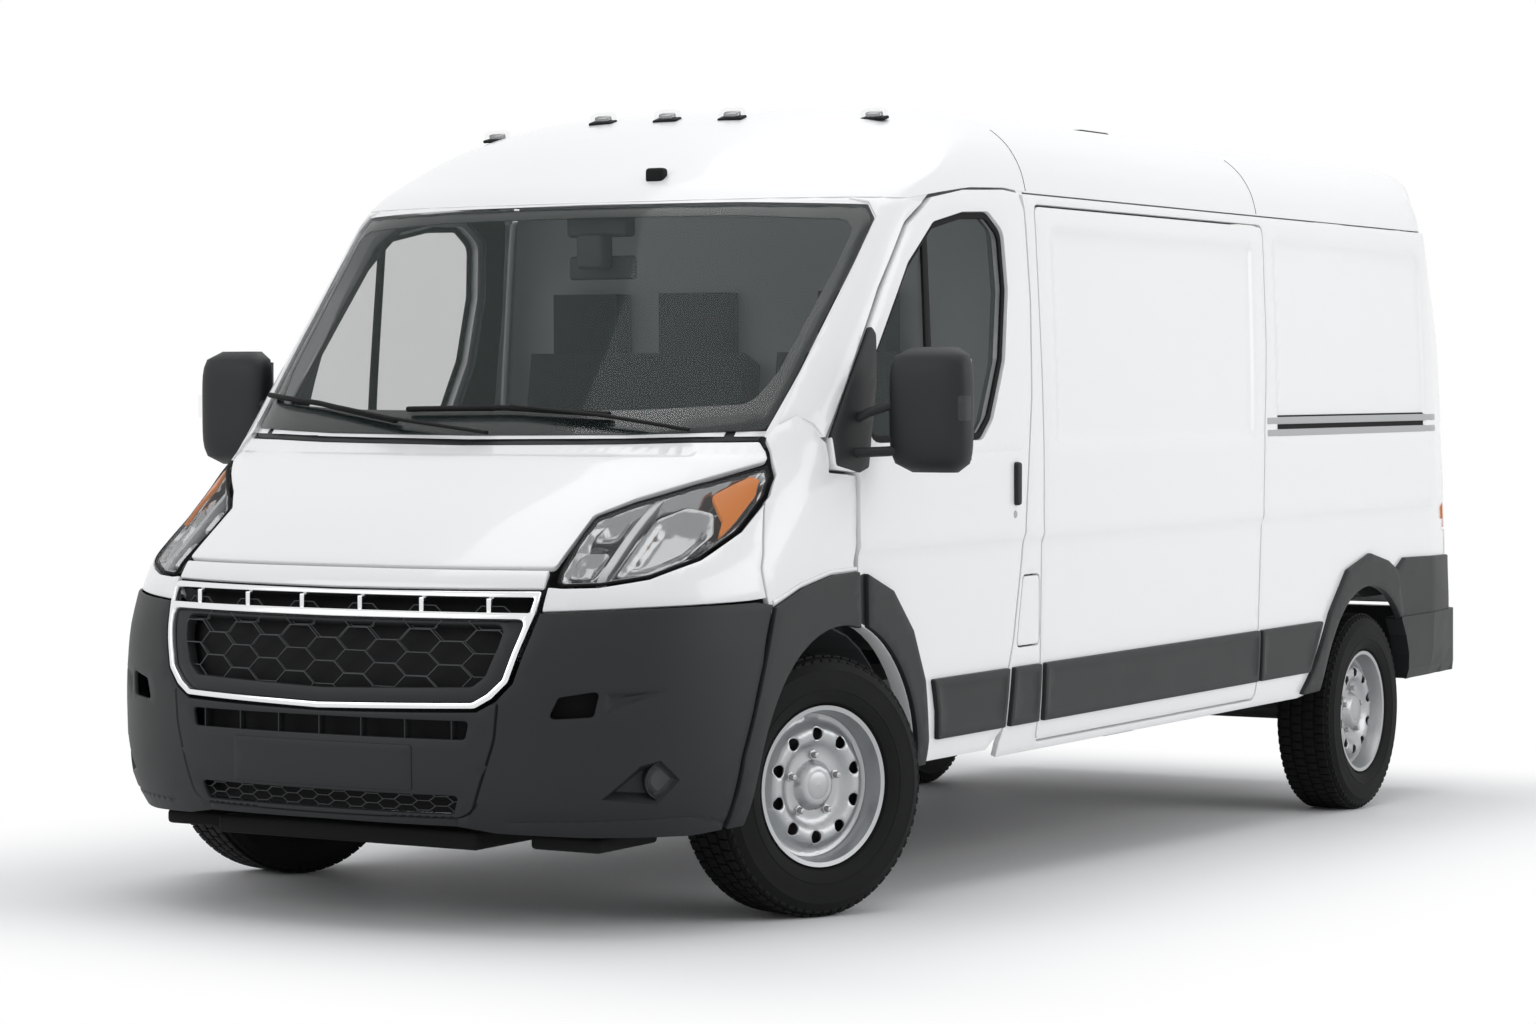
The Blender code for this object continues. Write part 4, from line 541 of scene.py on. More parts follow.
def guide_strips(fields, rim, roll, spacing):
    """Closed rings and open strips along a field's lines, so that its edges get points."""
    rings, strips = [], []
    within = grown(rim, -roll * 2)
    for _, guides in fields:
        for guide in guides:
            if not isinstance(guide[0], str):
                ring = densified(guide, spacing * RIM_SPACING)
                if inside(np.array(ring), within).all():
                    rings.append(ring)
                continue
            line, width = guide[1:]
            for offset in (-width, 0.0, width):
                strip = beside(line, offset, spacing * HOLE_SPACING)
                strips.append([point for point, ok in zip(strip, inside(np.array(strip), within)) if ok])
    return rings, strips


def fill_points(rims, loops, spacing):
    """A staggered grid inside the outline, clear of its loops and holes."""
    rim = np.array(rims[0])
    low, high = rim.min(axis=0), rim.max(axis=0)
    across = np.arange(low[0] + spacing / 2, high[0], spacing)
    upward = np.arange(low[1] + spacing / 2, high[1], spacing)
    grid = np.array([(a + (spacing / 2 if row % 2 else 0), b) for row, b in enumerate(upward) for a in across])
    if not len(grid):
        return grid.reshape(0, 2)
    grid = grid[inside(grid, rims[0])]
    for hole in rims[1:]:
        grid = grid[~inside(grid, hole)]
    for loop in loops:
        grid = grid[distance_to(grid, loop) > spacing * CLEAR_SHARE]
    return grid


def sheet_of(rims, loops, drops, strips, spacing, to_work):
    """Triangles over an outline: flat places, places in the working plane, edge drop and faces."""
    places, edges, drop_of = [], [], []
    for loop, drop in zip(loops, drops):
        first, count = len(places), len(loop)
        edges += [(first + at, first + (at + 1) % count) for at in range(count)]
        places += [tuple(point) for point in loop]
        drop_of += [drop] * count
    for free in (*strips, fill_points(rims, loops, spacing)):
        places += [tuple(point) for point in free]
        drop_of += [0.0] * len(free)
    flat = np.array(places)
    work = to_work(flat)
    found = delaunay_2d_cdt([Vector(point) for point in work], edges, [], 0, MERGE_WITHIN)
    new2 = np.array([tuple(point) for point in found[0]])
    near = np.array([ids[0] if ids else int(np.argmin(np.linalg.norm(work - point, axis=1)))
                     for ids, point in zip(found[3], new2)])
    outer, *inner = [to_work(np.array(rim)) for rim in rims]
    centres = np.array([new2[list(face)].mean(axis=0) for face in found[2]])
    kept = inside(centres, [tuple(point) for point in outer])
    for hole in inner:
        kept &= ~inside(centres, [tuple(point) for point in hole])
    faces = [face for face, keep in zip(found[2], kept) if keep]
    used = sorted({v for face in faces for v in face})
    index = {v: at for at, v in enumerate(used)}
    faces = [[index[v] for v in face] for face in faces]
    return flat[near[used]], new2[used], np.array(drop_of)[near[used]], faces


def outward(base, normal, view):
    """Normals turned to the outside of the body."""
    if view == "back":
        return normal * np.where(normal[:, 1:2] < 0, -1, 1)
    reach = normal[:, 0:1] * base[:, 0:1] - normal[:, 1:2] * np.maximum(NOSE_HEART - base[:, 1:2], 0) * 2
    return normal * np.where(reach < 0, -1, 1)


def panel(name, outline, material, view="side", holes=(), radius=0.0, thick=0.014, roll=0.003, lift=0.0,
          spacing=0.04, fields=()):
    """A closed panel on the skin: its face follows the outline and its edges are rolled."""
    to_skin, point_of = SURFACES[view]
    rims, loops, drops = edge_loops(outline, holes, radius, roll, spacing)
    rings, strips = guide_strips(fields, rims[0], roll, spacing)
    loops, drops = loops + rings, drops + [0.0] * len(rings)
    seen, new2, depth, faces = sheet_of(rims, loops, drops, strips, spacing,
                                        lambda flat: to_skin(flat[:, 0], flat[:, 1]))
    for field, _ in fields:
        depth = depth + field(seen)
    w, z = new2[:, 0], new2[:, 1]
    base = point_of(w, z)
    normal = np.cross(point_of(w + NUDGE, z) - point_of(w - NUDGE, z), point_of(w, z + NUDGE) - point_of(w, z - NUDGE))
    normal = outward(base, normal / np.linalg.norm(normal, axis=1)[:, None], view)
    return closed(name, base + normal * (lift - depth)[:, None], normal, faces, thick, material)


def fit(name, outline, material, *nodes, body="body", slot=None, **form):
    """A panel set in its place; one whose name ends in left gets its mirror image too."""
    made = panel(name, outline, material, **form)
    (seat_pair if name.endswith("left") else seat)(made, body, *nodes, slot=slot)
    return made


# %% Simple solids
def bands(rows, count):
    """Faces between rings that follow each other."""
    return [(a * count + k, a * count + (k + 1) % count, (a + 1) * count + (k + 1) % count, (a + 1) * count + k)
            for a in range(rows - 1) for k in range(count)]


def loft(name, rings, material, smooth_angle=50):
    """A closed solid through rings of equal length."""
    count = len(rings[0])
    ends = [tuple(range(count)), tuple((len(rings) - 1) * count + k for k in reversed(range(count)))]
    return mesh_object(name, [point for ring in rings for point in ring], bands(len(rings), count) + ends, material,
                       smooth_angle)


def revolved(name, profile, material, steps=64, smooth_angle=30, centre=(0, 0, 0), axis=(0, 0, 1)):
    """A closed profile of (radius, place along the axis) turned round."""
    axis = Vector(axis).normalized()
    side = axis.orthogonal().normalized()
    turn = [2 * math.pi * k / steps for k in range(steps)]
    points = [Vector(centre) + axis * along + (side * math.cos(t) + axis.cross(side) * math.sin(t)) * max(radius, 1e-3)
              for t in turn for radius, along in profile]
    count = len(profile)
    faces = [(a * count + b, ((a + 1) % steps) * count + b, ((a + 1) % steps) * count + (b + 1) % count,
              a * count + (b + 1) % count) for a in range(steps) for b in range(count)]
    return mesh_object(name, points, faces, material, smooth_angle)


def tube(name, path, radius, material, sides=12, flat=1.0):
    """A closed tube along points; flat below one squeezes it upwards."""
    points, rings = [Vector(point) for point in path], []
    for at, point in enumerate(points):
        run = (points[min(at + 1, len(points) - 1)] - points[max(at - 1, 0)]).normalized()
        across = run.cross(Vector((0, 0, 1)) if abs(run.z) < 0.9 else Vector((0, 1, 0))).normalized()
        rings.append([point + (across * math.cos(2 * math.pi * k / sides)
                               + across.cross(run) * math.sin(2 * math.pi * k / sides) * flat) * radius
                      for k in range(sides)])
    return loft(name, rings, material, 42)


def block(name, low, high, round_by, material, turn=None):
    """A box with rounded edges."""
    shape = bmesh.new()
    bmesh.ops.create_cube(shape, size=1.0)
    low, high = Vector(low), Vector(high)
    for vert in shape.verts:
        vert.co = Vector([vert.co[k] * (high - low)[k] for k in range(3)])
    bmesh.ops.bevel(shape, geom=list(shape.edges), offset=round_by, segments=3, profile=0.5, affect="EDGES")
    points = [(turn @ vert.co if turn else vert.co) + (low + high) / 2 for vert in shape.verts]
    faces = [[vert.index for vert in face.verts] for face in shape.faces]
    shape.free()
    return mesh_object(name, points, faces, material)


# %% Repeats with Geometry Nodes
def repeat_tree(name, material):
    """A node tree that sets a unit on every point, turned by the point's own angle, and makes the copies real."""
    tree = bpy.data.node_groups.new(name, "GeometryNodeTree")
    for title, way, kind in (("Geometry", "INPUT", "Geometry"), ("Unit", "INPUT", "Object"), ("Size", "INPUT", "Float"),
                             ("Geometry", "OUTPUT", "Geometry")):
        tree.interface.new_socket(title, in_out=way, socket_type="NodeSocket" + kind)
    start = add_node(tree, "NodeGroupInput").outputs
    unit = add_node(tree, "GeometryNodeObjectInfo", {}, {"Object": start["Unit"]})
    turn = add_node(tree, "GeometryNodeInputNamedAttribute", {"data_type": "FLOAT_VECTOR"}, {"Name": "turn"})
    euler = add_node(tree, "FunctionNodeEulerToRotation", {}, {"Euler": turn.outputs["Attribute"]})
    copies = add_node(tree, "GeometryNodeInstanceOnPoints", {}, {
        "Points": start["Geometry"], "Instance": unit.outputs["Geometry"], "Rotation": euler.outputs["Rotation"],
        "Scale": start["Size"]})
    real = add_node(tree, "GeometryNodeRealizeInstances", {}, {"Geometry": copies.outputs["Instances"]})
    paint = add_node(tree, "GeometryNodeSetMaterial", {}, {"Geometry": real.outputs["Geometry"], "Material": material})
    add_node(tree, "NodeGroupOutput", {}, {"Geometry": paint.outputs["Geometry"]})
    return tree


def repeated(name, unit, points, turns, material, smooth_angle=30):
    """One plain mesh of a unit repeated on points; the unit itself is used up."""
    cloud = bpy.data.meshes.new(name + "_points")
    cloud.from_pydata([tuple(point) for point in points], [], [])
    cloud.attributes.new("turn", "FLOAT_VECTOR", "POINT").data.foreach_set("vector", np.array(turns, float).ravel())
    holder = linked(name + "_points", cloud)
    modifier = holder.modifiers.new("repeat", "NODES")
    tree = repeat_tree(name + "_repeat", material)
    sockets = {item.name: item.identifier for item in tree.interface.items_tree if item.in_out == "INPUT"}
    modifier.node_group = tree
    modifier[sockets["Unit"]] = unit
    modifier[sockets["Size"]] = 1.0
    bpy.context.view_layer.update()
    mesh = bpy.data.meshes.new_from_object(holder.evaluated_get(bpy.context.evaluated_depsgraph_get()))
    mesh.name = name
    mesh.shade_smooth()
    mesh.set_sharp_from_angle(angle=math.radians(smooth_angle))
    if not mesh.materials:
        mesh.materials.append(material)
    for spent in (holder, unit):
        bpy.data.objects.remove(spent, do_unlink=True)
    return linked(name, mesh)


print("tools ready")

# %% [markdown]
# ## Carried-over pieces
# What lies under the van and in the cab keeps the CAD shape. Frame rails are dipped black, the axle is cast,
# the floor is painted sheet. They are plain forms on the real van too, and mostly in shadow.

# %% Materials of the CAD pieces
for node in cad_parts.values():
    for place in node.material_slots:
        place.material = BY_SLOT[place.material.name.split(".")[0]]
print(sorted(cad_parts))

# %% [markdown]
# ## Doors and sides
# The outer skins are pressed from one sheet each and hemmed round the edge. The step at the waist and the
# sunken field in the side keep the big flat sheet from drumming. Each field is drawn with the same outline
# as the CAD part, but pressed with a soft edge.

# %% Outlines of the side
FRONT_ARCH, REAR_ARCH = (.04, .35), (4.045, .262)
DOOR_BLANK = [(.152, .93), (.156, 1.215), (.01, 1.228), (.014, 1.308), (.116, 1.431), (.35, 1.725), (.518, 1.914),
              (.674, 2.0), (.872, 2.029), (1.139, 2.041), (1.235, 2.035), (1.262, 1.987), (1.268, 1.714),
              (1.245, 1.412), (1.219, 1.261), (1.176, .931), (1.121, .693), (1.089, .611), (1.064, .432),
              (.969, .374)] + arc(*FRONT_ARCH, .458, 3, 74, 14)
DOOR_WINDOW = ((.494, 1.807), (.661, 1.928), (.855, 1.964), (1.021, 1.971), (1.113, 1.915), (1.123, 1.742),
               (1.08, 1.531), (.985, 1.354), (.914, 1.296), (.20, 1.296), (.275, 1.55))
SLIDE_DOOR = ((1.338, 2.0), (1.328, 1.3), (1.311, .6), (1.303, .376), (3.025, .376), (3.022, .606), (3.069, 1.3),
              (3.11, 1.6), (3.13, 2.0))
RECESS = ((3.18, 1.275), (4.66, 1.275), (4.68, 1.90), (4.64, 1.955), (3.22, 1.965), (3.20, 1.60))
SLIDE_RECESS = ((1.42, 1.275), (2.98, 1.275), (3.03, 1.94), (1.44, 1.94))
RECESS_DEPTH, RECESS_EDGE = .011, .022
FLAP = ((1.30, .672), (1.30, .882), (1.192, .882), (1.148, .672))
SIDE_BLANK = [(1.262, 2.034), (1.271, 1.99), (1.277, 1.714), (1.254, 1.412), (1.228, 1.261), (1.185, .931),
              (1.130, .693), (1.098, .611), (1.073, .436), (1.05, .385), (1.05, .345), (3.44, .345)]
SIDE_BLANK += arc(*REAR_ARCH, .475, 168, 44, 20)
SIDE_BLANK += [(4.40, .592), (4.975, .592), (4.975, .893), (4.948, .893), (4.948, 1.307), (4.975, 1.307),
               (4.975, 2.034)]
WAIST_LOW, WAIST_HIGH, WAIST_STEP = .980, 1.006, -.010
WAIST = step_between(WAIST_LOW, WAIST_HIGH, WAIST_STEP)

# %% Doors
fit("front_door_skin_left", DOOR_BLANK, WHITE, "front_door_left", body="front_door_left",
    holes=[rounded(DOOR_WINDOW, .06)], radius=.025, thick=.04,
    fields=[WAIST, groove([(.20, 1.262), (1.16, 1.262)], .0025, .006)])
fit("front_door_card_left", grown(DOOR_BLANK, -.03), CABIN, body="front_door_left",
    holes=[rounded(grown(DOOR_WINDOW, .015), .03)], lift=-.041, thick=.012)
fit("slide_door_skin_left", grown(SLIDE_DOOR, -.001), WHITE, "slide_door_left", radius=.03, thick=.03,
    fields=[WAIST, pressed(SLIDE_RECESS, RECESS_DEPTH, RECESS_EDGE)])
fit("fuel_flap_skin", grown(FLAP, -.001), WHITE, "fuel_flap", body="fuel_flap", radius=.018, thick=.012, spacing=.03)

# %% Side panels
slide_hole, flap_hole = rounded(grown(SLIDE_DOOR, .006), .035), grown(rounded(FLAP, .018), .004)
for title, holes in (("left", [slide_hole, flap_hole]), ("right", [slide_hole])):
    side = panel(f"side_skin_{title}", SIDE_BLANK, WHITE, holes=holes, radius=.008,
                 fields=[WAIST, pressed(RECESS, RECESS_DEPTH, RECESS_EDGE)])
    if title == "right":
        mirror(side.data)
    seat(side, "body", f"side_{title}")
print("side panel faces", len(side.data.polygons))

# %% [markdown]
# ## Nose panels
# Hood, fenders and the strip under the lamps meet in fine gaps. Their outlines were read off the photograph
# along the gaps, so they are given partly from the front and partly from the side.

# %% Hood and fenders
HOOD = ((.0, .985), (.604, .985), (.604, 1.115), (.676, 1.158), (.786, 1.204), (.905, 1.255), (.892, 1.282),
        (.868, 1.309), (.70, 1.308), (.50, 1.303), (.0, 1.298))
fit("hood_skin", both(HOOD), WHITE, "hood", body="hood", view="front", radius=.010, thick=.013,
    fields=[step_between(1.262, 1.276, .006)])
fender_blank = front_ring((.879, 1.314), (.900, 1.285), (.913, 1.258), (.921, 1.244), (.937, 1.217), (.946, 1.163))
fender_blank += side_ring(
    (-.262, 1.147), (-.338, .994), (-.343, .914), (-.322, .84), (-.24, .80), (-.14, .85), (.0, .885), (.143, .885),
    (.147, 1.207), (.001, 1.219), (.004, 1.300), (-.014, 1.318), (-.026, 1.346), (-.059, 1.371))
fender_blank += front_ring((.886, 1.345))
fit("fender_skin_left", fender_blank, WHITE, "fender_left", view="skin", radius=.006, spacing=.03)
strip_blank = front_ring((.609, .934), (.645, .931), (.726, .933), (.826, .953), (.899, .999), (.935, 1.07),
                         (.944, 1.14))
strip_blank += side_ring((-.270, 1.140), (-.347, .990), (-.351, .914), (-.345, .893), (-.42, .889))
strip_blank += front_ring((.925, .886), (.821, .882), (.609, .872))
fit("lamp_strip_left", strip_blank, WHITE, view="skin", radius=.004, spacing=.03)
pillar_blank = front_ring((.890, 1.352))
pillar_blank += side_ring((-.052, 1.375), (-.02, 1.352), (-.004, 1.318), (.006, 1.318), (.108, 1.438), (.342, 1.732),
                          (.511, 1.922), (.63, 1.987))
pillar_blank += front_ring((.80, 1.991), (.874, 1.978), (.906, 1.935), (.904, 1.80), (.891, 1.50))
fit("pillar_skin_left", pillar_blank, WHITE, view="skin", radius=.006, spacing=.03, lift=.002, thick=.010)


# %% Tail
def tail_edge(*heights):
    """Places just inside the tail's outer corner."""
    return [(float(levels_at(z)[4]) - .001, z) for z in heights]


REAR_DOOR = ((.005, .60), (.806, .60), (.806, 1.88), (.79, 1.98), (.75, 2.055), (.70, 2.085), (.005, 2.085))
fit("rear_door_skin_left", REAR_DOOR, WHITE, "rear_door_left", body="rear_door_left", view="back", radius=.012,
    thick=.035, fields=[pressed(((.10, 1.28), (.70, 1.28), (.70, 1.86), (.10, 1.86)), .010, .02),
                        pressed(((.10, .70), (.70, .70), (.70, 1.16), (.10, 1.16)), .006, .02)])
fit("tail_post_low_left", [(.816, .60), *tail_edge(.60, .893), (.816, .893)], WHITE, view="back")
fit("tail_post_high_left", [(.816, 1.307), *tail_edge(1.307, 1.5, 1.7, 1.85, 1.95, 2.03, 2.094), (.703, 2.094),
                            (.757, 2.063), (.80, 1.985), (.816, 1.88)], WHITE, view="back")
print("nose and tail ready")

# %% [markdown]
# ## Roof
# The roof cap is one big laminate or pressing that begins above the windscreen and the gutter. It is drawn as
# rings of the same skin, from the gutter to a flat crown, so the curve from side to top has no seam.

# %% Roof
ROOF_EDGE_S = (-1.0, .40, .56, .674, .872, 1.139, 1.26, 1.30, 4.90, 4.985, 6.0)
ROOF_EDGE_Z = (1.995, 1.995, 1.995, 2.013, 2.041, 2.052, 2.047, 2.041, 2.041, 2.100, 2.100)
SIDE_GUTTER, TAIL_GUTTER, NOSE_LEVEL, NOSE_RISE = 2.041, 2.100, 2.0, .3
SIDE_START, SIDE_POINTS, CORNER_POINTS, BACK_POINTS = 1.6, 30, 7, 9
ROOF_HEART = np.array((0.0, 2.8, 1.2))
nose_w = np.concatenate((np.linspace(0, WRAP_WIDTH, 34, endpoint=False), np.linspace(WRAP_WIDTH, SIDE_START, 8)))


def roof_ring(share):
    """One ring of the roof cap; the share runs from nought at the gutter to one at the crown."""
    def risen(edge):
        return edge + (HEIGHT - edge) * share
    reach = skin_point(nose_w, np.full(len(nose_w), NOSE_LEVEL + NOSE_RISE * share))[:, 1]
    front = skin_point(nose_w, risen(np.interp(reach, ROOF_EDGE_S, ROOF_EDGE_Z)))
    z = risen(SIDE_GUTTER)
    w = np.linspace(SIDE_START, from_side(tail_at(z) - TAIL_ROUND, z)[0], SIDE_POINTS)[1:]
    side = skin_point(w, np.full(len(w), z))
    z = risen(TAIL_GUTTER)
    half = levels_at(z)[4]
    x = np.concatenate((half - TAIL_ROUND * (1 - np.cos(np.linspace(0, 1.3, CORNER_POINTS)))[1:],
                        np.linspace(half - TAIL_ROUND, 0, BACK_POINTS)[1:]))
    left = np.concatenate((front, side, back_point(x, np.full(len(x), z))))
    return np.concatenate((left, left[-2:0:-1] * (-1, 1, 1)))


def ring_normals(rings):
    """Outward normals at the points of the roof's rings."""
    made = []
    for row, ring in enumerate(rings):
        above, below = rings[min(row + 1, len(rings) - 1)], rings[max(row - 1, 0)]
        normal = np.cross(np.roll(ring, -1, axis=0) - np.roll(ring, 1, axis=0), above - below)
        length = np.linalg.norm(normal, axis=1)[:, None]
        normal = np.where(length < 1e-9, (0, 0, 1.0), normal / np.maximum(length, 1e-9))
        made.append(normal * np.sign((normal * (ring - ROOF_HEART)).sum(axis=1))[:, None])
    return np.concatenate(made)


rings = [roof_ring(share) for share in (*np.linspace(0, .8, 17, endpoint=False), *np.linspace(.8, 1.0, 12))]
crown = rings[-1].mean(axis=0)
for share in (.6, .25):
    rings.append(crown + (rings[-1] - crown) * share)
count = len(rings[0])
cap = [tuple((len(rings) - 1) * count + at for at in range(count))]
roof = closed("roof_skin", np.concatenate(rings), ring_normals(rings), bands(len(rings), count) + cap, .012, WHITE)
seat(roof, "body", "roof")
print("roof", len(roof.data.polygons))

# %% [markdown]
# ## Glass
# The windscreen is bonded from outside, and a printed black border hides the adhesive. A sheet that reflects
# sharply but lets the cab show through needs no thickness trick: it is a thin closed shell with low alpha.

# %% Windscreen and door glass
WINDSCREEN = both(((.0, 1.326), (.5, 1.330), (.869, 1.342), (.884, 1.50), (.898, 1.80), (.900, 1.93), (.870, 1.970),
                   (.5, 1.982), (.0, 1.986)))
FRIT = both(((.0, 1.392), (.5, 1.396), (.805, 1.412), (.838, 1.50), (.862, 1.80), (.866, 1.905), (.835, 1.935),
             (.5, 1.952), (.0, 1.956)))
COWL = both(((.0, 1.306), (.50, 1.311), (.70, 1.316), (.862, 1.318), (.868, 1.345), (.5, 1.333), (.0, 1.329)))
PANE_BAR = ((.585, 1.30), (.622, 1.30), (.640, 1.925), (.606, 1.90))
CAB_BLOCKS = (("glass_sensor_head", (-.105, .37, 1.895), (.105, .43, 1.965), .012),
              ("glass_sensor_foot", (-.045, .33, 1.80), (.045, .40, 1.90), .012),
              ("inner_mirror", (-.115, .40, 1.77), (.115, .425, 1.84), .010))
fit("windscreen_glass", WINDSCREEN, GLASS, "windscreen", view="front", radius=.02, thick=.004, roll=.001, lift=-.003,
    spacing=.06)
fit("windscreen_border", WINDSCREEN, GLOSS_BLACK, view="front", holes=[rounded(FRIT, .05)], radius=.02, thick=.003,
    roll=.0005, lift=-.009, spacing=.05)
fit("wiper_cowl", COWL, DARK, view="front", thick=.006, roll=.001, lift=-.016, spacing=.03)
fit("door_pane_left", rounded(DOOR_WINDOW, .06), GLASS, "door_glass_left", body="front_door_left", thick=.004,
    roll=.001, lift=-.008)
fit("door_pane_seal_left", rounded(grown(DOOR_WINDOW, -.001), .06), SEAL, body="front_door_left",
    holes=[rounded(grown(DOOR_WINDOW, -.020), .05)], thick=.006, roll=.002, lift=-.001)
for title, low, high, round_by in CAB_BLOCKS:
    seat(block(title, low, high, round_by, CABIN), "body")
fit("door_pane_bar_left", PANE_BAR, SEAL, body="front_door_left", thick=.006, roll=.002, lift=-.002)

# %% [markdown]
# ## Bumper and grille
# The bumper is one moulded shell in grained dark plastic, with a centre insert that shows as a seam. The
# openings are real holes with meshes behind them. The mesh is one six-sided cell repeated on a staggered grid.

# %% Bumper
SLOT = ((-.44, .540), (.44, .540), (.45, .588), (-.45, .588))
LOW_SLOT = ((-.40, .345), (.40, .345), (.42, .393), (-.42, .393))
SIDE_SLOT = ((.650, .596), (.752, .602), (.764, .668), (.674, .652))
SIDE_WEDGE = front_ring((.775, .602), (.90, .670), (.775, .668))
FOG_BAY = front_ring((.762, .388), (.843, .474), (.879, .486), (.908, .434), (.866, .372))
INSERT = front_ring((.526, .640), (.517, .541), (.474, .409), (.452, .352), (.412, .333), (.0, .330))
FOOT_SEAM = front_ring((.54, .326), (.905, .334)) + side_ring((-.43, .30))
PLATE_REST = ((-.29, .403), (.29, .403), (.29, .522), (-.29, .522))
BAND_GAP = both(((.0, .932), (.605, .936), (.605, .910), (.0, .906)))
# A matt black sheet behind the bumper and grille openings is painted shade: it stands in for the shadow inside the
# nose.
SHADE_SHEET = both(((.0, .318), (.42, .318), (.93, .34), (.93, .72), (.56, .74), (.56, .93), (.0, .93)))
bumper_half = front_ring((.0, .602), (.47, .612), (.52, .640), (.562, .687), (.594, .80), (.606, .866), (.821, .876),
                         (.925, .880))
bumper_half += side_ring((-.395, .883), (-.325, .874), (-.377, .72), (-.422, .60), (-.466, .48), (-.482, .36),
                         (-.476, .288))
bumper_half += front_ring((.89, .280), (.70, .286), (.50, .296), (.40, .312), (.0, .314))
fields = []
for ring, depth in ((FOG_BAY, .034), (SIDE_WEDGE, .014)):
    fields += [pressed(ring, depth, .02), pressed(left_of(ring), depth, .02)]
for line, depth, width in ((INSERT, .006, .004), (FOOT_SEAM, .004, .008)):
    fields += [groove(line, depth, width), groove([(-w, z) for w, z in line], depth, width)]
fit("bumper_shell", bumper_half + left_of(bumper_half[1:-1]), DARK, "front_bumper", view="skin", thick=.005,
    roll=.004, lift=.008, spacing=.035, fields=fields,
    holes=[front_ring(*rounded(hole, .012)) for hole in (SLOT, LOW_SLOT, SIDE_SLOT, left_of(SIDE_SLOT))])
fit("number_plate_rest", PLATE_REST, DARK, view="front", radius=.01, thick=.008, lift=.011)
fit("band_gap", BAND_GAP, SEAL, view="front", thick=.004, lift=-.008)
# The sheet behind the openings is painted shade, dark so that the openings read black.
fit("bumper_inside", SHADE_SHEET, SEAL, view="front", thick=.004, lift=-.050, spacing=.08)

# %% Grille
GRILLE_BAND = both(((.0, .976), (.597, .976), (.600, .930), (.0, .926)))
GRILLE_RIM = both(((.0, .916), (.599, .920), (.597, .862), (.583, .80), (.552, .69), (.512, .647), (.468, .621),
                   (.0, .608)))
GRILLE_INNER = both(((.0, .845), (.576, .848), (.566, .80), (.536, .697), (.499, .660), (.461, .637), (.0, .625)))
GRILLE_HOLE = both(((.0, .836), (.522, .838), (.512, .78), (.485, .705), (.452, .678), (.0, .664)))
TOP_SLOT = ((-.582, .866), (.582, .866), (.586, .903), (-.586, .903))
RIM_RADII = [.004] * 3 + [.03] * 11
UNDERTRAYS = (("middle", (-.46, -.84, .235), (.40, -.55, .285)), ("left", (.50, -.74, .235), (.72, -.45, .275)),
              ("right", (-.72, -.74, .235), (-.52, -.45, .275)))
FIN_COUNT, FIN_STEP, FIN_LEVEL, FIN_BOX = 6, .190, .885, ((-.007, -.012, -.020), (.007, .008, .020))
BAR_COUNT, BAR_STEP, BAR_LEVEL, BAR_BOX = 7, .135, .564, ((-.002, -.012, -.028), (.002, .012, .028))
TANGENT_STEP, TURN_STEP = .002, .01
fit("grille_band", GRILLE_BAND, WHITE, view="front", radius=.006, thick=.012, roll=.004, lift=.002)
fit("grille_surround", GRILLE_RIM, CHROME, "grille_frame", view="front", radius=RIM_RADII, thick=.012, roll=.005,
    holes=[rounded(GRILLE_INNER, .03), rounded(TOP_SLOT, .006)], lift=.013, spacing=.03)
fit("grille_tray", rounded(grown(GRILLE_INNER, .004), .03), DARK, view="front", holes=[rounded(GRILLE_HOLE, .03)],
    thick=.02, roll=.008, lift=-.004, spacing=.03)


def on_front(x, z, lift=0.0):
    """A place on the nose, a little off the skin."""
    places = ((x, z), (x + TANGENT_STEP, z), (x, z + TANGENT_STEP))
    base, side, above = (skin_point(*from_front(*place)) for place in places)
    normal = np.cross(side - base, above - base)
    normal *= -np.sign(normal[1]) / np.linalg.norm(normal)
    return Vector(base + normal * lift)


def ring_unit(name, outer, inner, depth):
    """A flat-topped six-sided ring, as deep as a grille web."""
    corners = [(math.cos(math.pi / 3 * k), math.sin(math.pi / 3 * k)) for k in range(6)]
    points = [(x * across, s, z * up)
              for s in (-depth / 2, depth / 2) for across, up in (outer, inner) for x, z in corners]
    faces = []
    for k in range(6):
        n = (k + 1) % 6
        faces += [(k, n, 6 + n, 6 + k), (12 + k, 18 + k, 18 + n, 12 + n), (k, 12 + k, 12 + n, n),
                  (6 + k, 6 + n, 18 + n, 18 + k)]
    return mesh_object(name, points, faces, GLOSS_BLACK, 20)


def honeycomb(name, outline, across, rise, web, lift, depth, *nodes):
    """Six-sided cells on a staggered grid wherever an outline allows."""
    wide, tall = across * 2 / 3, rise / 2 / math.sin(math.pi / 3)
    unit = ring_unit("cell", (wide, tall), (wide - web, tall - web), depth)
    low, high = min(z for x, z in outline), max(z for x, z in outline)
    columns = int(1 / across)
    places = [(c * across, low + r * rise + (rise / 2 if c % 2 else 0)) for c in range(-columns, columns + 1)
              for r in range(-1, int((high - low) / rise) + 2)]
    places = [place for place, ok in zip(places, inside(np.array(places), outline)) if ok]
    turns = [(0, 0, math.atan2(*(on_front(x + TURN_STEP, z) - on_front(x - TURN_STEP, z)).yx)) for x, z in places]
    comb = repeated(name, unit, [on_front(x, z, lift) for x, z in places], turns, MESH_GREY, 20)
    seat(comb, "body", *nodes)
    print(name, "cells", len(places))


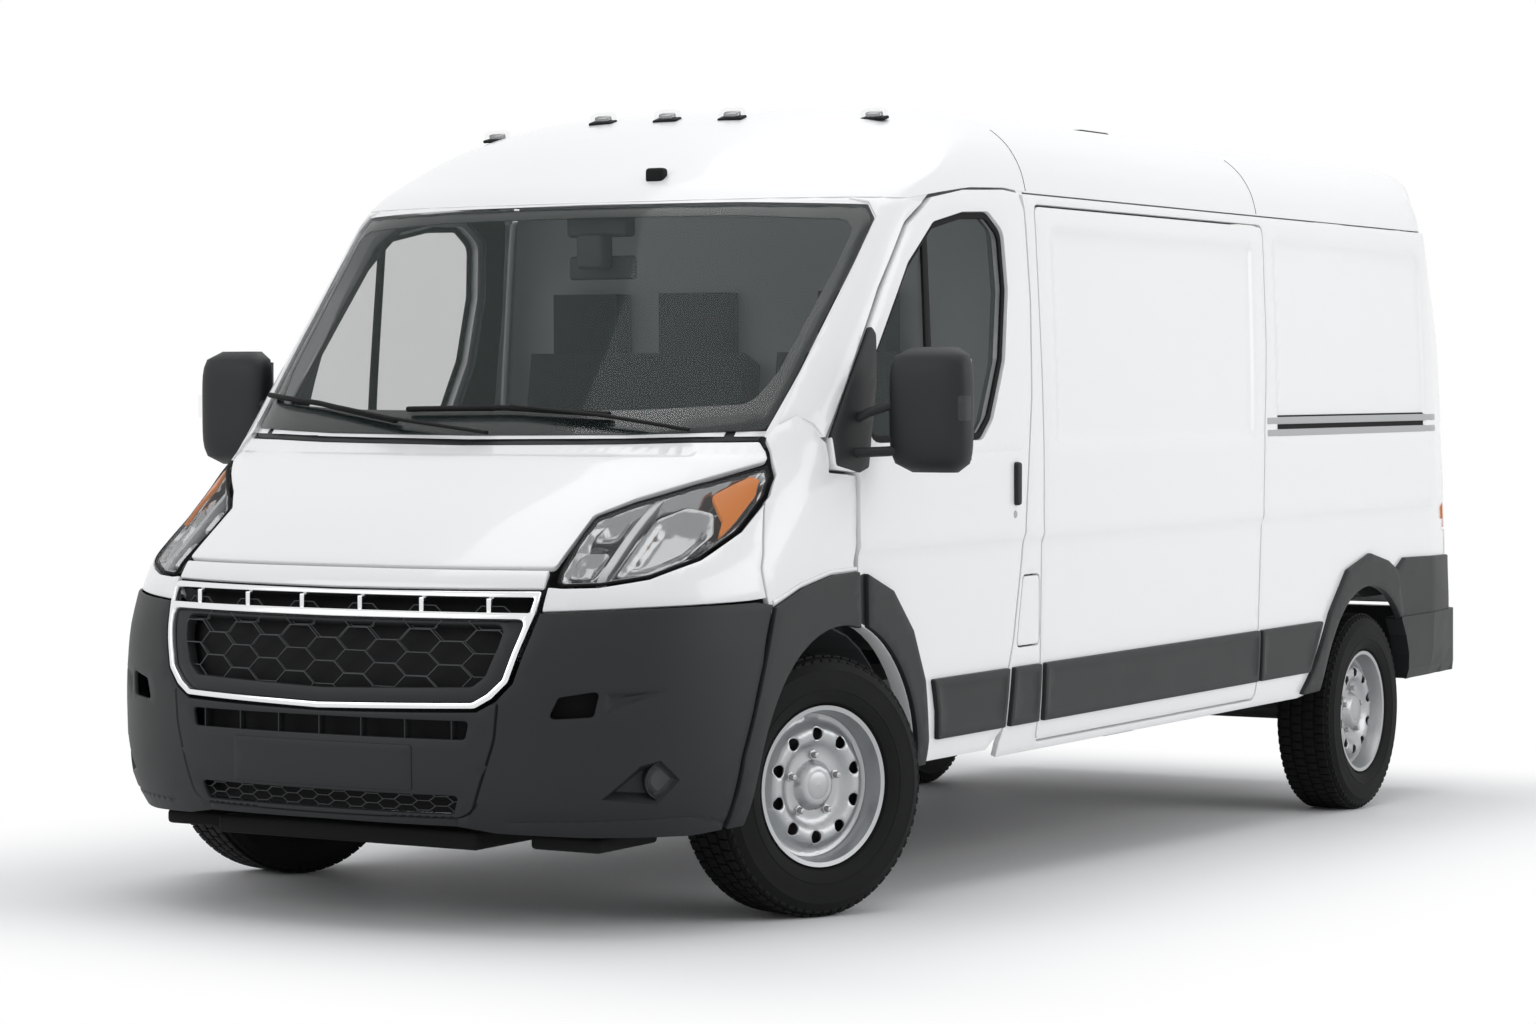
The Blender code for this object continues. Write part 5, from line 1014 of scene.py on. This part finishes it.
honeycomb("grille_comb", grown(GRILLE_HOLE, .024), .0965, .0625, .0021, -.014, .005, "grille_mesh")
honeycomb("lower_comb", grown(LOW_SLOT, .010), .052, .026, .0014, -.008, .004)
fin = block("fin_unit", *FIN_BOX, .003, CHROME)
fin_places = [on_front((n - (FIN_COUNT - 1) / 2) * FIN_STEP, FIN_LEVEL) for n in range(FIN_COUNT)]
seat(repeated("grille_fins", fin, fin_places, [(0, 0, 0)] * FIN_COUNT, CHROME), "body")
bar = block("bar_unit", *BAR_BOX, .001, DARK)
bar_places = [on_front((n - (BAR_COUNT - 1) / 2) * BAR_STEP, BAR_LEVEL, -.006) for n in range(BAR_COUNT)]
seat(repeated("slot_bars", bar, bar_places, [(0, 0, 0)] * BAR_COUNT, DARK), "body")
for title, low, high in UNDERTRAYS:
    seat(block(f"undertray_{title}", low, high, .012, SEAL), "body")

# %% [markdown]
# ## Lamps
# A headlamp is a clear cover over a deep bowl. The bowl here is pressed into a silver panel inside the lamp's
# outline, then single reflectors, a divider and an amber leaf sit in it.

# %% Headlamps and fog lamps
HEADLAMP = front_ring((.627, .945), (.612, 1.039), (.612, 1.112), (.682, 1.150), (.792, 1.196), (.911, 1.243),
                      (.928, 1.216), (.937, 1.163), (.927, 1.074), (.892, 1.004), (.824, .959), (.726, .940),
                      (.645, .937))
LAMP_CELLS = (
    ("main", ((.748, .968), (.815, .975), (.868, 1.012), (.893, 1.075), (.868, 1.132), (.805, 1.150), (.752, 1.120)),
     .035, .045),
    ("upper", ((.635, 1.06), (.70, 1.06), (.70, 1.128), (.645, 1.105)), .02, .02),
    ("lower", ((.645, .965), (.705, .962), (.705, 1.035), (.636, 1.035)), .02, .02))
BLADE = front_ring((.716, .945), (.736, .948), (.742, 1.165), (.722, 1.158))
AMBER_LEAF = front_ring((.840, 1.168), (.868, 1.196), (.893, 1.219), (.914, 1.208), (.924, 1.165), (.917, 1.10),
                        (.906, 1.05), (.894, 1.10))
FOG_X, FOG_Z, FOG_DEPTH = .885, .431, .010
FOG_RING = ((.001, -.004), (.030, -.008), (.042, -.018), (.047, -.018), (.047, .004), (.052, .004), (.052, -.03),
            (.001, -.03))
FOG_GLASS = ((.001, .006), (.025, .005), (.0455, -.001), (.0455, -.005), (.001, -.003))
lamp_inner = grown(HEADLAMP, -.006)
fit("headlamp_seal_left", grown(HEADLAMP, -.001), SEAL, view="skin", holes=[rounded(lamp_inner, .008)], radius=.012,
    thick=.008, roll=.002, spacing=.03)
fit("headlamp_bowl_left", lamp_inner, REFLECTOR, view="skin", radius=.012, thick=.004, roll=.001, lift=-.012,
    spacing=.02, fields=[pressed(grown(HEADLAMP, -.012), .055, .045)])
for title, ring, depth, wide in LAMP_CELLS:
    shape = front_ring(*rounded(ring, .02))
    fit(f"headlamp_{title}_cell_left", shape, REFLECTOR, view="skin", thick=.003, lift=-.022, spacing=.012,
        fields=[pressed(grown(shape, -.004), depth, wide)])
fit("headlamp_blade_left", BLADE, ALLOY, slot="bright_silver", view="skin", thick=.03, lift=-.010, spacing=.03)
fit("headlamp_turn_left", AMBER_LEAF, AMBER, view="skin", radius=.01, thick=.008, lift=-.006, spacing=.02)
fit("headlamp_cover_left", lamp_inner, LENS, "headlamp_left", view="skin", radius=.012, thick=.003, roll=.001,
    lift=-.002, spacing=.03)
for title, sign in (("left", 1), ("right", -1)):
    at = on_front(FOG_X * sign, FOG_Z)
    out = (on_front(FOG_X * sign, FOG_Z, .01) - at).normalized()
    for piece, profile, material in (("ring", FOG_RING, DARK), ("glass", FOG_GLASS, LENS)):
        seat(revolved(f"fog_{piece}_{title}", profile, material, 40, centre=at - out * FOG_DEPTH, axis=out), "body")
print("lamps ready")

# %% [markdown]
# ## Dark trim on the sides
# Flares, rubbing strips, handles and mirror feet are separate mouldings clipped to the paint. They stand out
# a little and their edges are rolled, so they catch a thin light line.

# %% Flares and mouldings
FLARE_OUT = [(-.470, .292), (-.476, .36), (-.460, .48), (-.416, .60), (-.371, .72), (-.319, .868), (-.176, .911),
             (-.009, .939), (.140, .942)]
DOOR_FLARE_OUT = [(.486, .37), (.563, .37), (.563, .439), (.532, .614), (.459, .761), (.338, .881), (.184, .936)]
FLARE_FOOT = ((.158, .93), (.188, .935), (.188, .79), (.158, .80))
FLARE_LIP = ((-.322, .884), (-.176, .925), (-.009, .953), (.140, .956), (.140, .944), (-.009, .941), (-.176, .913),
             (-.316, .872))
REAR_FLARE_OUT = [(3.44, .36), (3.546, .475), (3.67, .64), (3.835, .784), (4.065, .836), (4.241, .803), (4.346, .761),
                  (4.40, .60)]
REAR_CORNER_OUT = [(4.355, .775), (4.42, .806), (4.60, .803), (4.977, .795), (4.977, .362), (4.50, .345)]
TAIL_CORNER = ((.826, .60), (.826, .79), (.948, .79), (.952, .70), (.955, .60))
RAIL = ((3.080, 1.270), (4.80, 1.270), (4.80, 1.350), (3.080, 1.350))
LOW, HIGH = .436, .612
MOULDINGS = (
    ("door_strip_left", "front_door_left", ((.62, LOW), (1.058, LOW), (1.080, HIGH), (.585, HIGH), (.612, .52))),
    ("post_strip_left", "body", ((1.089, LOW), (1.288, LOW), (1.296, HIGH), (1.112, HIGH))),
    ("slide_strip_left", "body", ((1.320, LOW), (3.012, LOW), (3.015, HIGH), (1.324, HIGH))),
    ("rear_strip_left", "body", ((3.036, LOW), (3.49, LOW), (3.60, HIGH), (3.036, HIGH))))
fit("front_flare_left", FLARE_OUT + arc(*FRONT_ARCH, .447, 76, 187, 34), DARK, radius=.006, thick=.016, roll=.005,
    lift=.015, spacing=.03)
fit("door_flare_left", DOOR_FLARE_OUT + arc(*FRONT_ARCH, .460, 71, 4, 22), DARK, body="front_door_left", radius=.006,
    thick=.018, roll=.006, lift=.016, spacing=.03)
fit("door_flare_foot_left", FLARE_FOOT, DARK, body="front_door_left", thick=.004, roll=.002, lift=.002)
fit("front_flare_lip_left", FLARE_LIP, WHITE, thick=.008, roll=.004, lift=.005, spacing=.03)
fit("rear_flare_left", REAR_FLARE_OUT + arc(*REAR_ARCH, .454, 42, 167, 34), DARK, radius=.008, thick=.018, roll=.006,
    lift=.018, spacing=.03)
for title, body, outline in MOULDINGS:
    fit(title, outline, DARK, body=body, radius=.008, thick=.014, roll=.006, lift=.015, spacing=.05,
        fields=[pressed(grown(outline, -.02), .003, .01)])
fit("slide_rail_left", RAIL, SEAL, radius=.004, thick=.008, lift=.004)
for title, low, high in (("upper", 1.318, 1.344), ("lower", 1.276, 1.302)):
    fit(f"slide_rail_{title}_left", ((3.09, low), (4.785, low), (4.785, high), (3.09, high)), WHEEL, radius=.006,
        thick=.008, roll=.004, lift=.011)
fit("rear_corner_left", REAR_CORNER_OUT + arc(*REAR_ARCH, .456, 12, 68, 14), DARK, radius=.006, thick=.016, roll=.006,
    lift=.016, spacing=.03)
fit("tail_corner_left", TAIL_CORNER, DARK, view="back", thick=.012, roll=.005, lift=.012, spacing=.03)

# %% Handle and marker
HANDLE_S, HANDLE_Z, LOCK_DROP = 1.120, 1.142, .072
HANDLE_PLATE = ((-.042, -.10), (.040, -.10), (.052, .0), (.046, .10), (-.036, .10), (-.050, .0))
HANDLE_GRIP = ((-.008, -.045), (.020, -.045), (.024, .085), (-.006, .085))
LOCK = ((.001, .012), (.010, .012), (.013, .008), (.013, -.004), (.001, -.004))
MARKER = ((4.925, .935), (4.945, .935), (4.945, 1.005), (4.925, 1.005))
plate_ring, grip_ring = ([(HANDLE_S + a, HANDLE_Z + b) for a, b in ring] for ring in (HANDLE_PLATE, HANDLE_GRIP))
fit("door_handle_plate_left", plate_ring, DARK, body="front_door_left", radius=.03, thick=.006, lift=.005,
    spacing=.02, fields=[pressed(grown(plate_ring, -.014), .004, .010)])
fit("door_handle_grip_left", grip_ring, DARK, body="front_door_left", radius=.012, thick=.014, roll=.008, lift=.026,
    spacing=.02)
seat_pair(revolved("door_handle_lock_left", LOCK, STEEL, 24, axis=(1, 0, 0),
                   centre=skin_point(*from_side(HANDLE_S, HANDLE_Z - LOCK_DROP))), "front_door_left")
fit("side_marker_left", MARKER, AMBER, radius=.006, thick=.006, lift=.006, spacing=.02)

# %% [markdown]
# ## Mirrors
# Two arms carry a tall housing, so a driver sees past a wide load. The housing is a loft of rounded sections,
# fuller in front, with the glass set into its flat back and a clear repeater at its outer edge.

# %% Mirrors
SAIL = ((.018, 1.315), (.110, 1.432), (.268, 1.625), (.285, 1.60), (.262, 1.45), (.225, 1.31), (.205, 1.228),
        (.150, 1.214), (.022, 1.236))
MIRROR_LOW, MIRROR_HIGH = (1.080, .152, 1.217), (1.322, .258, 1.563)
SECTION_POWER, SECTION_POINTS, SECTION_ROWS, END_SHARE = 3.2, 36, 14, .55
UPPER_ARM = ((.995, .155, 1.365), (1.03, .160, 1.382), (1.08, .18, 1.400), (1.13, .20, 1.412))
LOWER_ARM = ((.985, .13, 1.270), (1.02, .14, 1.272), (1.08, .17, 1.275), (1.13, .20, 1.28))
MIRROR_GLASS, MIRROR_LENS = ((1.105, .256, 1.25), (1.297, .262, 1.53)), ((1.296, .165, 1.36), (1.326, .205, 1.43))


def rounded_section(x_low, x_high, s_low, s_high, z):
    """One level of a housing: a box section with round corners."""
    ring = []
    for k in range(SECTION_POINTS):
        t = 2 * math.pi * k / SECTION_POINTS
        c, q = math.cos(t), math.sin(t)
        x = (x_low + x_high) / 2 + (x_high - x_low) / 2 * math.copysign(abs(c) ** (2 / SECTION_POWER), c)
        s = (s_low + s_high) / 2 + (s_high - s_low) / 2 * math.copysign(abs(q) ** (2 / SECTION_POWER), q)
        ring.append(Vector((x, s, z)))
    return ring


def mirror_level(t):
    """One section of the housing; t runs from minus one at its foot to one at its top."""
    share = END_SHARE + (1 - END_SHARE) * (1 - abs(t) ** 5) ** (1 / 2.2)
    z = (MIRROR_LOW[2] + MIRROR_HIGH[2]) / 2 + (MIRROR_HIGH[2] - MIRROR_LOW[2]) / 2 * t
    middle, reach = (MIRROR_LOW[0] + MIRROR_HIGH[0]) / 2, (MIRROR_HIGH[0] - MIRROR_LOW[0]) / 2 * share
    front = MIRROR_HIGH[1] - (MIRROR_HIGH[1] - MIRROR_LOW[1]) * share
    return rounded_section(middle - reach, middle + reach, front, MIRROR_HIGH[1], z)


fit("mirror_sail_left", SAIL, DARK, body="front_door_left", radius=.012, thick=.010, roll=.005, lift=.012, spacing=.03)
for made in (
        loft("mirror_shell_left", [mirror_level(-1 + 2 * k / SECTION_ROWS) for k in range(SECTION_ROWS + 1)], DARK),
        block("mirror_glass_left", *MIRROR_GLASS, .002, REFLECTOR), block("mirror_turn_left", *MIRROR_LENS, .006, LENS),
        tube("mirror_upper_arm_left", UPPER_ARM, .015, DARK, flat=.9),
        tube("mirror_lower_arm_left", LOWER_ARM, .020, DARK, flat=.7)):
    seat_pair(made, "front_door_left")

# %% [markdown]
# ## Wipers and roof lamps
# Wiper arms are bent flat steel under black paint. They lie just off the glass, so their path is found on the
# skin itself. Five clear marker lamps sit on the roof's forehead.

# %% Wipers, roof lamps and bracket
WIPERS = (
    ("inner", ((.07, 1.318), (-.10, 1.330), (-.28, 1.350), (-.50, 1.388)),
     ((-.86, 1.425), (-.60, 1.402), (-.27, 1.352))),
    ("outer", ((.686, 1.328), (.58, 1.338), (.42, 1.360), (.10, 1.392)),
     ((-.25, 1.385), (.08, 1.390), (.43, 1.372))))
ARM_LIFT, ARM_BOW, ARM_RADIUS, ARM_FLAT = .012, .012, .009, .6
BLADE_LIFT, BLADE_STEPS, BLADE_KNOTS, BLADE_RADIUS, BLADE_FLAT = .009, 14, (0, .45, 1), .010, .8
ROOF_LAMPS = ((-.284, .858), (-.041, .841), (.192, .837), (.631, .928), (-.745, .955))
LAMP_PARTS = (("base", (-.042, -.020, -.004), (.042, .020, .006), .004, SEAL),
              ("bowl", (-.026, -.010, 0), (.026, .014, .022), .006, REFLECTOR),
              ("dome", (-.040, -.022, -.002), (.040, .026, .032), .014, LENS))
BRACKET_FOOT, BRACKET_LOW, BRACKET_HIGH, BRACKET_RISE = (.163, .46), (.133, .430), (.193, .468), .022
ROOF_SEAMS, SEAM_LOW, SEAM_HIGH, SEAM_LEAN, SEAM_STEPS, SEAM_RADIUS = (1.31, 3.12), 2.046, 2.235, .02, 16, .0013
LOW_ITEM = (.40, 2.62, HEIGHT - .022), (.52, 2.84, HEIGHT + .004)
HEIGHT_STEPS, LEAN_STEP = 200, .05
for title, arm_places, knots in WIPERS:
    arm = [on_front(x, z, ARM_LIFT + ARM_BOW * math.sin(math.pi * k / 3)) for k, (x, z) in enumerate(arm_places)]
    blade_x, blade_z = (np.interp(np.linspace(0, 1, BLADE_STEPS), BLADE_KNOTS, values) for values in zip(*knots))
    seat(tube(f"wiper_arm_{title}", arm, ARM_RADIUS, SEAL, flat=ARM_FLAT), "body")
    blade = [on_front(x, z, BLADE_LIFT) for x, z in zip(blade_x, blade_z)]
    seat(tube(f"wiper_blade_{title}", blade, BLADE_RADIUS, SEAL, flat=BLADE_FLAT), "body")


def roof_height(x, s):
    """Height of the roof at a place on the forehead."""
    levels = np.linspace(NOSE_LEVEL, HEIGHT, HEIGHT_STEPS)
    nose, half, wrap, bow, _ = levels_at(levels)
    angle = np.arcsin(np.clip(abs(x) / half, 0, 1) ** (bow / 2))
    return float(np.interp(s, nose + wrap * (1 - np.cos(angle) ** (2 / bow)), levels))


for number, (x, s) in enumerate(ROOF_LAMPS):
    foot = Vector((x, s, roof_height(x, s)))
    rise = roof_height(x, s + LEAN_STEP) - roof_height(x, s - LEAN_STEP)
    tilt = Matrix.Rotation(math.atan2(rise, 2 * LEAN_STEP), 4, "X")
    for title, low, high, round_by, material in LAMP_PARTS:
        name = f"roof_lamp_{number}" if title == "dome" else f"roof_lamp_{title}_{number}"
        seat(block(name, foot + Vector(low), foot + Vector(high), round_by, material, tilt), "body")
bracket_z = roof_height(*BRACKET_FOOT)
seat(block("roof_bracket", (*BRACKET_LOW, bracket_z - BRACKET_RISE), (*BRACKET_HIGH, bracket_z + BRACKET_RISE), .010,
           SEAL), "body")
for number, at in enumerate(ROOF_SEAMS):
    seam = [skin_point(*from_side(at + SEAM_LEAN * (z - NOSE_LEVEL), z))
            for z in np.linspace(SEAM_LOW, SEAM_HIGH, SEAM_STEPS)]
    seat_pair(tube(f"roof_seam_{number}_left", seam, SEAM_RADIUS, SEAL, 6), "body")
seat(block("roof_low_item", *LOW_ITEM, .009, DARK), "body")
print("trim ready")

# %% [markdown]
# ## Wheels
# A steel wheel is a pressed disc welded into a rolled rim: a raised ring with ten round vents, a dish for the
# five nuts and a domed hub cap. The disc is filled between its outline and the vents, then pushed along the
# axle by a profile. The tyre is turned, and its tread is one block repeated round it in four rows.

# %% Wheels and tyres
VENT_CIRCLE, VENT_RADIUS, VENTS, VENT_ROLL, VENT_DROP = .142, .0175, 10, .003, .0025
DISC_THICK, DISC_SPACING = .005, .009
DISC = ((0, .069), (.052, .069), (.060, .060), (.066, .046), (.096, .045), (.108, .050), (.120, .062), (.132, .0675),
        (.152, .0675), (.162, .058), (.172, .040), (.186, .034), (.197, .040))
DISC_LOOPS = (.056, .063, .070, .100, .112)
BARREL = ((.2215, .086), (.2215, .094), (.209, .092), (.2015, .070), (.1975, .040), (.190, .020), (.190, -.060),
          (.205, -.080), (.2215, -.092), (.2215, -.086), (.209, -.076), (.195, -.056), (.195, .016), (.2025, .036),
          (.2065, .066), (.213, .086))
HUB_CAP = ((.001, .0735), (.022, .0725), (.034, .0705), (.040, .068), (.040, .060), (.001, .060))
NUT = ((.001, .016), (.0075, .015), (.0095, .012), (.0095, .0), (.014, -.001), (.014, -.004), (.001, -.004))
HUB = ((.001, .058), (.056, .058), (.056, -.045), (.001, -.045))
DRUM = ((.060, .030), (.180, .026), (.180, -.040), (.060, -.040))
TYRE_SIDE = ((.2055, .078), (.2235, .0845), (.2320, .0985), (.2500, .1075), (.2640, .1105), (.2660, .1125),
             (.2690, .1108), (.2950, .1118), (.3150, .1085), (.3200, .1095), (.3230, .1070), (.3380, .1010),
             (.3490, .0910), (.3530, .0780))
TYRE_PROFILE = [*TYRE_SIDE, (.3535, .0), *((radius, -along) for radius, along in reversed(TYRE_SIDE))]
TREAD_ROWS = ((-.066, .034), (-.0225, .036), (.0225, .036), (.066, .034))
TREAD_BLOCKS, TREAD_RADIUS, SHOULDER_RADIUS, SHOULDER_PLACE = 68, .3560, .3440, .0935
NUTS, NUT_CIRCLE, NUT_PLACE = 5, .0835, .049


def wheel_frame(centre, out):
    """Turns the wheel's own frame, axle along z, into the van's level frame."""
    out = Vector(out).normalized()
    above = Vector((0, 0, 1))
    ahead = above.cross(out).normalized()
    return Matrix([(ahead[k], above[k], out[k], centre[k]) for k in range(3)] + [(0, 0, 0, 1)])


def circle(radius, count, centre=(0, 0)):
    """Points round a centre."""
    return [(centre[0] + radius * math.cos(t), centre[1] + radius * math.sin(t))
            for t in np.linspace(0, 2 * math.pi, count, endpoint=False)]


def wheel_disc(name):
    """The pressed disc with its vents."""
    turns = [2 * math.pi * (k + .5) / VENTS for k in range(VENTS)]
    vents = [circle(VENT_RADIUS, 18, (VENT_CIRCLE * math.cos(a), VENT_CIRCLE * math.sin(a))) for a in turns]
    rims = [circle(DISC[-1][0], 96)] + vents
    loops = rims + [grown(vent, VENT_ROLL) for vent in vents] + [circle(radius, 72) for radius in DISC_LOOPS]
    drops = [0.0] + [VENT_DROP] * VENTS + [0.0] * (VENTS + len(DISC_LOOPS))
    _, flat, drop, faces = sheet_of(rims, loops, drops, [], DISC_SPACING, lambda places: places)
    z = np.interp(np.linalg.norm(flat, axis=1), *zip(*DISC)) - drop
    return closed(name, np.column_stack((flat, z)), np.tile((0, 0, 1.0), (len(flat), 1)), faces, DISC_THICK, WHEEL)


def spin_points(radius, along, count, offset=0.0):
    """Places round the axle, and the turn that each has."""
    turns = [2 * math.pi * (k + offset) / count for k in range(count)]
    return [(radius * math.cos(t), radius * math.sin(t), along) for t in turns], [(0, 0, t) for t in turns]


def make_tread(corner):
    """Four rows of blocks and a row of lugs on each shoulder."""
    made = []
    for row, (along, wide) in enumerate(TREAD_ROWS):
        unit = block("tread_unit", (-.004, -.0140, -wide / 2), (.0035, .0140, wide / 2), .0015, TYRE)
        made.append(repeated(f"tread_{corner}_{row}", unit,
                             *spin_points(TREAD_RADIUS, along, TREAD_BLOCKS, .5 * (row % 2)), TYRE))
    for title, sign in (("out", 1), ("in", -1)):
        unit = block("lug_unit", (-.010, -.010, -.006), (.004, .010, .006), .002, TYRE)
        made.append(repeated(f"shoulder_{corner}_{title}", unit,
                             *spin_points(SHOULDER_RADIUS, SHOULDER_PLACE * sign, TREAD_BLOCKS, .25), TYRE))
    return made


def make_wheel(corner, centre, out):
    """All pieces of one wheel."""
    places = wheel_frame(centre, out)
    nut = revolved("nut_unit", NUT, STEEL, 6, 20)
    pieces = [wheel_disc(f"disc_{corner}"), revolved(f"barrel_{corner}", BARREL, WHEEL, 96),
              revolved(f"hub_cap_{corner}", HUB_CAP, WHEEL, 48),
              repeated(f"nuts_{corner}", nut, *spin_points(NUT_CIRCLE, NUT_PLACE, NUTS, .25), STEEL),
              revolved(f"hub_{corner}", HUB, IRON, 40), revolved(f"drum_{corner}", DRUM, FRAME_BLACK, 48),
              revolved(f"tyre_shell_{corner}", TYRE_PROFILE, TYRE, 120, 26)] + make_tread(corner)
    replaced = {f"disc_{corner}": [f"rim_{corner}"], f"tyre_shell_{corner}": [f"tyre_{corner}"]}
    for piece in pieces:
        piece.data.transform(places)
        seat(piece, f"wheel_{corner}", *replaced.get(piece.name, []), level=True)


# Each wheel: its corner, its middle across and along the van, and the way its axle points.
AXLE_HEIGHT, STEERED = .36, Vector((.938493, -.345298, 0))
WHEELS = (("front_left", .900387, -2.023567, STEERED), ("front_right", -.900387, -1.971773, -STEERED),
          ("rear_left", .895, 2.01144, (1, 0, 0)), ("rear_right", -.895, 2.01144, (-1, 0, 0)))
for corner, across, along, out in WHEELS:
    make_wheel(corner, (across, along - SHIFT, AXLE_HEIGHT), out)
print("wheels ready")

# %% [markdown]
# ## Studio
# A pale floor that takes a soft shadow, a white world behind, and large soft lights: the van is shown as on a
# studio page, and the white paint keeps its shape by soft gradients, not by bright spots. The white beyond the
# shadow is shown to the camera, in reflections and through glass only, so it puts no light on the van.

# %% Floor, light and world
FLOOR_REACH, NEAR_FLOOR, FADE_WIDTH, SKY_LIGHT = 60, (1.3, 3.0, 0), 1.3, 0.58


def seen_rays(tree):
    """One for rays that show the background: to the camera, in a reflection or through glass."""
    path = add_node(tree, "ShaderNodeLightPath").outputs
    reach = path["Is Camera Ray"]
    for name in ("Is Glossy Ray", "Is Transmission Ray"):
        reach = add_node(tree, "ShaderNodeMath", {"operation": "MAXIMUM"}, {0: reach, 1: path[name]}).outputs[0]
    return reach


floor_material = finish_material("studio_floor", (0.90, 0.90, 0.905), 0.6, spread=0.01, spread_scale=0.5)
tree = floor_material.node_tree
reach = tree.nodes["Texture Coordinate"].outputs["Object"]
reach = add_node(tree, "ShaderNodeVectorMath", {"operation": "ABSOLUTE"}, {0: reach}).outputs[0]
for operation, other in (("SUBTRACT", NEAR_FLOOR), ("MAXIMUM", (0, 0, 0))):
    reach = add_node(tree, "ShaderNodeVectorMath", {"operation": operation}, {0: reach, 1: other}).outputs[0]
far = add_node(tree, "ShaderNodeVectorMath", {"operation": "LENGTH"}, {0: reach}).outputs["Value"]
fade = add_node(tree, "ShaderNodeMapRange", {"interpolation_type": "SMOOTHSTEP"},
                {"From Min": 0.0, "From Max": FADE_WIDTH, "Value": far}).outputs["Result"]
share = add_node(tree, "ShaderNodeMath", {"operation": "MULTIPLY"}, {0: fade, 1: seen_rays(tree)}).outputs[0]
glow = add_node(tree, "ShaderNodeEmission", {}, {"Color": (1, 1, 1, 1)}).outputs["Emission"]
paint = tree.nodes["Principled BSDF"].outputs["BSDF"]
mixed = add_node(tree, "ShaderNodeMixShader", {}, {"Fac": share, 1: paint, 2: glow})
feed(tree, tree.nodes["Material Output"], {"Surface": mixed.outputs["Shader"]})
corners = [(x * FLOOR_REACH, y * FLOOR_REACH, 0) for x, y in ((-1, -1), (1, -1), (1, 1), (-1, 1))]
floor = mesh_object("studio_floor", corners, [(0, 1, 2, 3)], floor_material)
floor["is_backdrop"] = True
world = bpy.data.worlds.new("studio_world")
bpy.context.scene.world = world
world.use_nodes = True
tree = world.node_tree
tree.nodes.clear()
soft, plain = (add_node(tree, "ShaderNodeBackground", {}, {"Color": colour, "Strength": strength}).outputs[0]
               for colour, strength in (((0.96, 0.975, 1.0, 1), SKY_LIGHT), ((1, 1, 1, 1), 1.0)))
mixed = add_node(tree, "ShaderNodeMixShader", {}, {"Fac": seen_rays(tree), 1: soft, 2: plain})
add_node(tree, "ShaderNodeOutputWorld", {}, {"Surface": mixed.outputs["Shader"]})


def soft_light(name, place, target, size, power):
    """A large area light aimed at a point."""
    lamp = bpy.data.lights.new(name, "AREA")
    lamp.shape, lamp.size, lamp.size_y, lamp.energy = "RECTANGLE", *size, power
    made = linked(name, lamp)
    made.location = Vector(place)
    made.rotation_euler = (Vector(target) - Vector(place)).to_track_quat("-Z", "Y").to_euler()


# Each light: its name, place, aim, size and power.
LIGHTS = (("top_light", (0, .3, 8.0), (0, .3, 0), (7, 10), 300),
          ("left_light", (9.0, 1.5, 4.0), (0, .6, 1.0), (8, 5), 250),
          ("front_light", (-3.5, -9.5, 4.5), (0, -1.5, 1.1), (6, 4), 140))
for light in LIGHTS:
    soft_light(*light)
print("lights ready")

# %% Size of what was built
low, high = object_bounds()
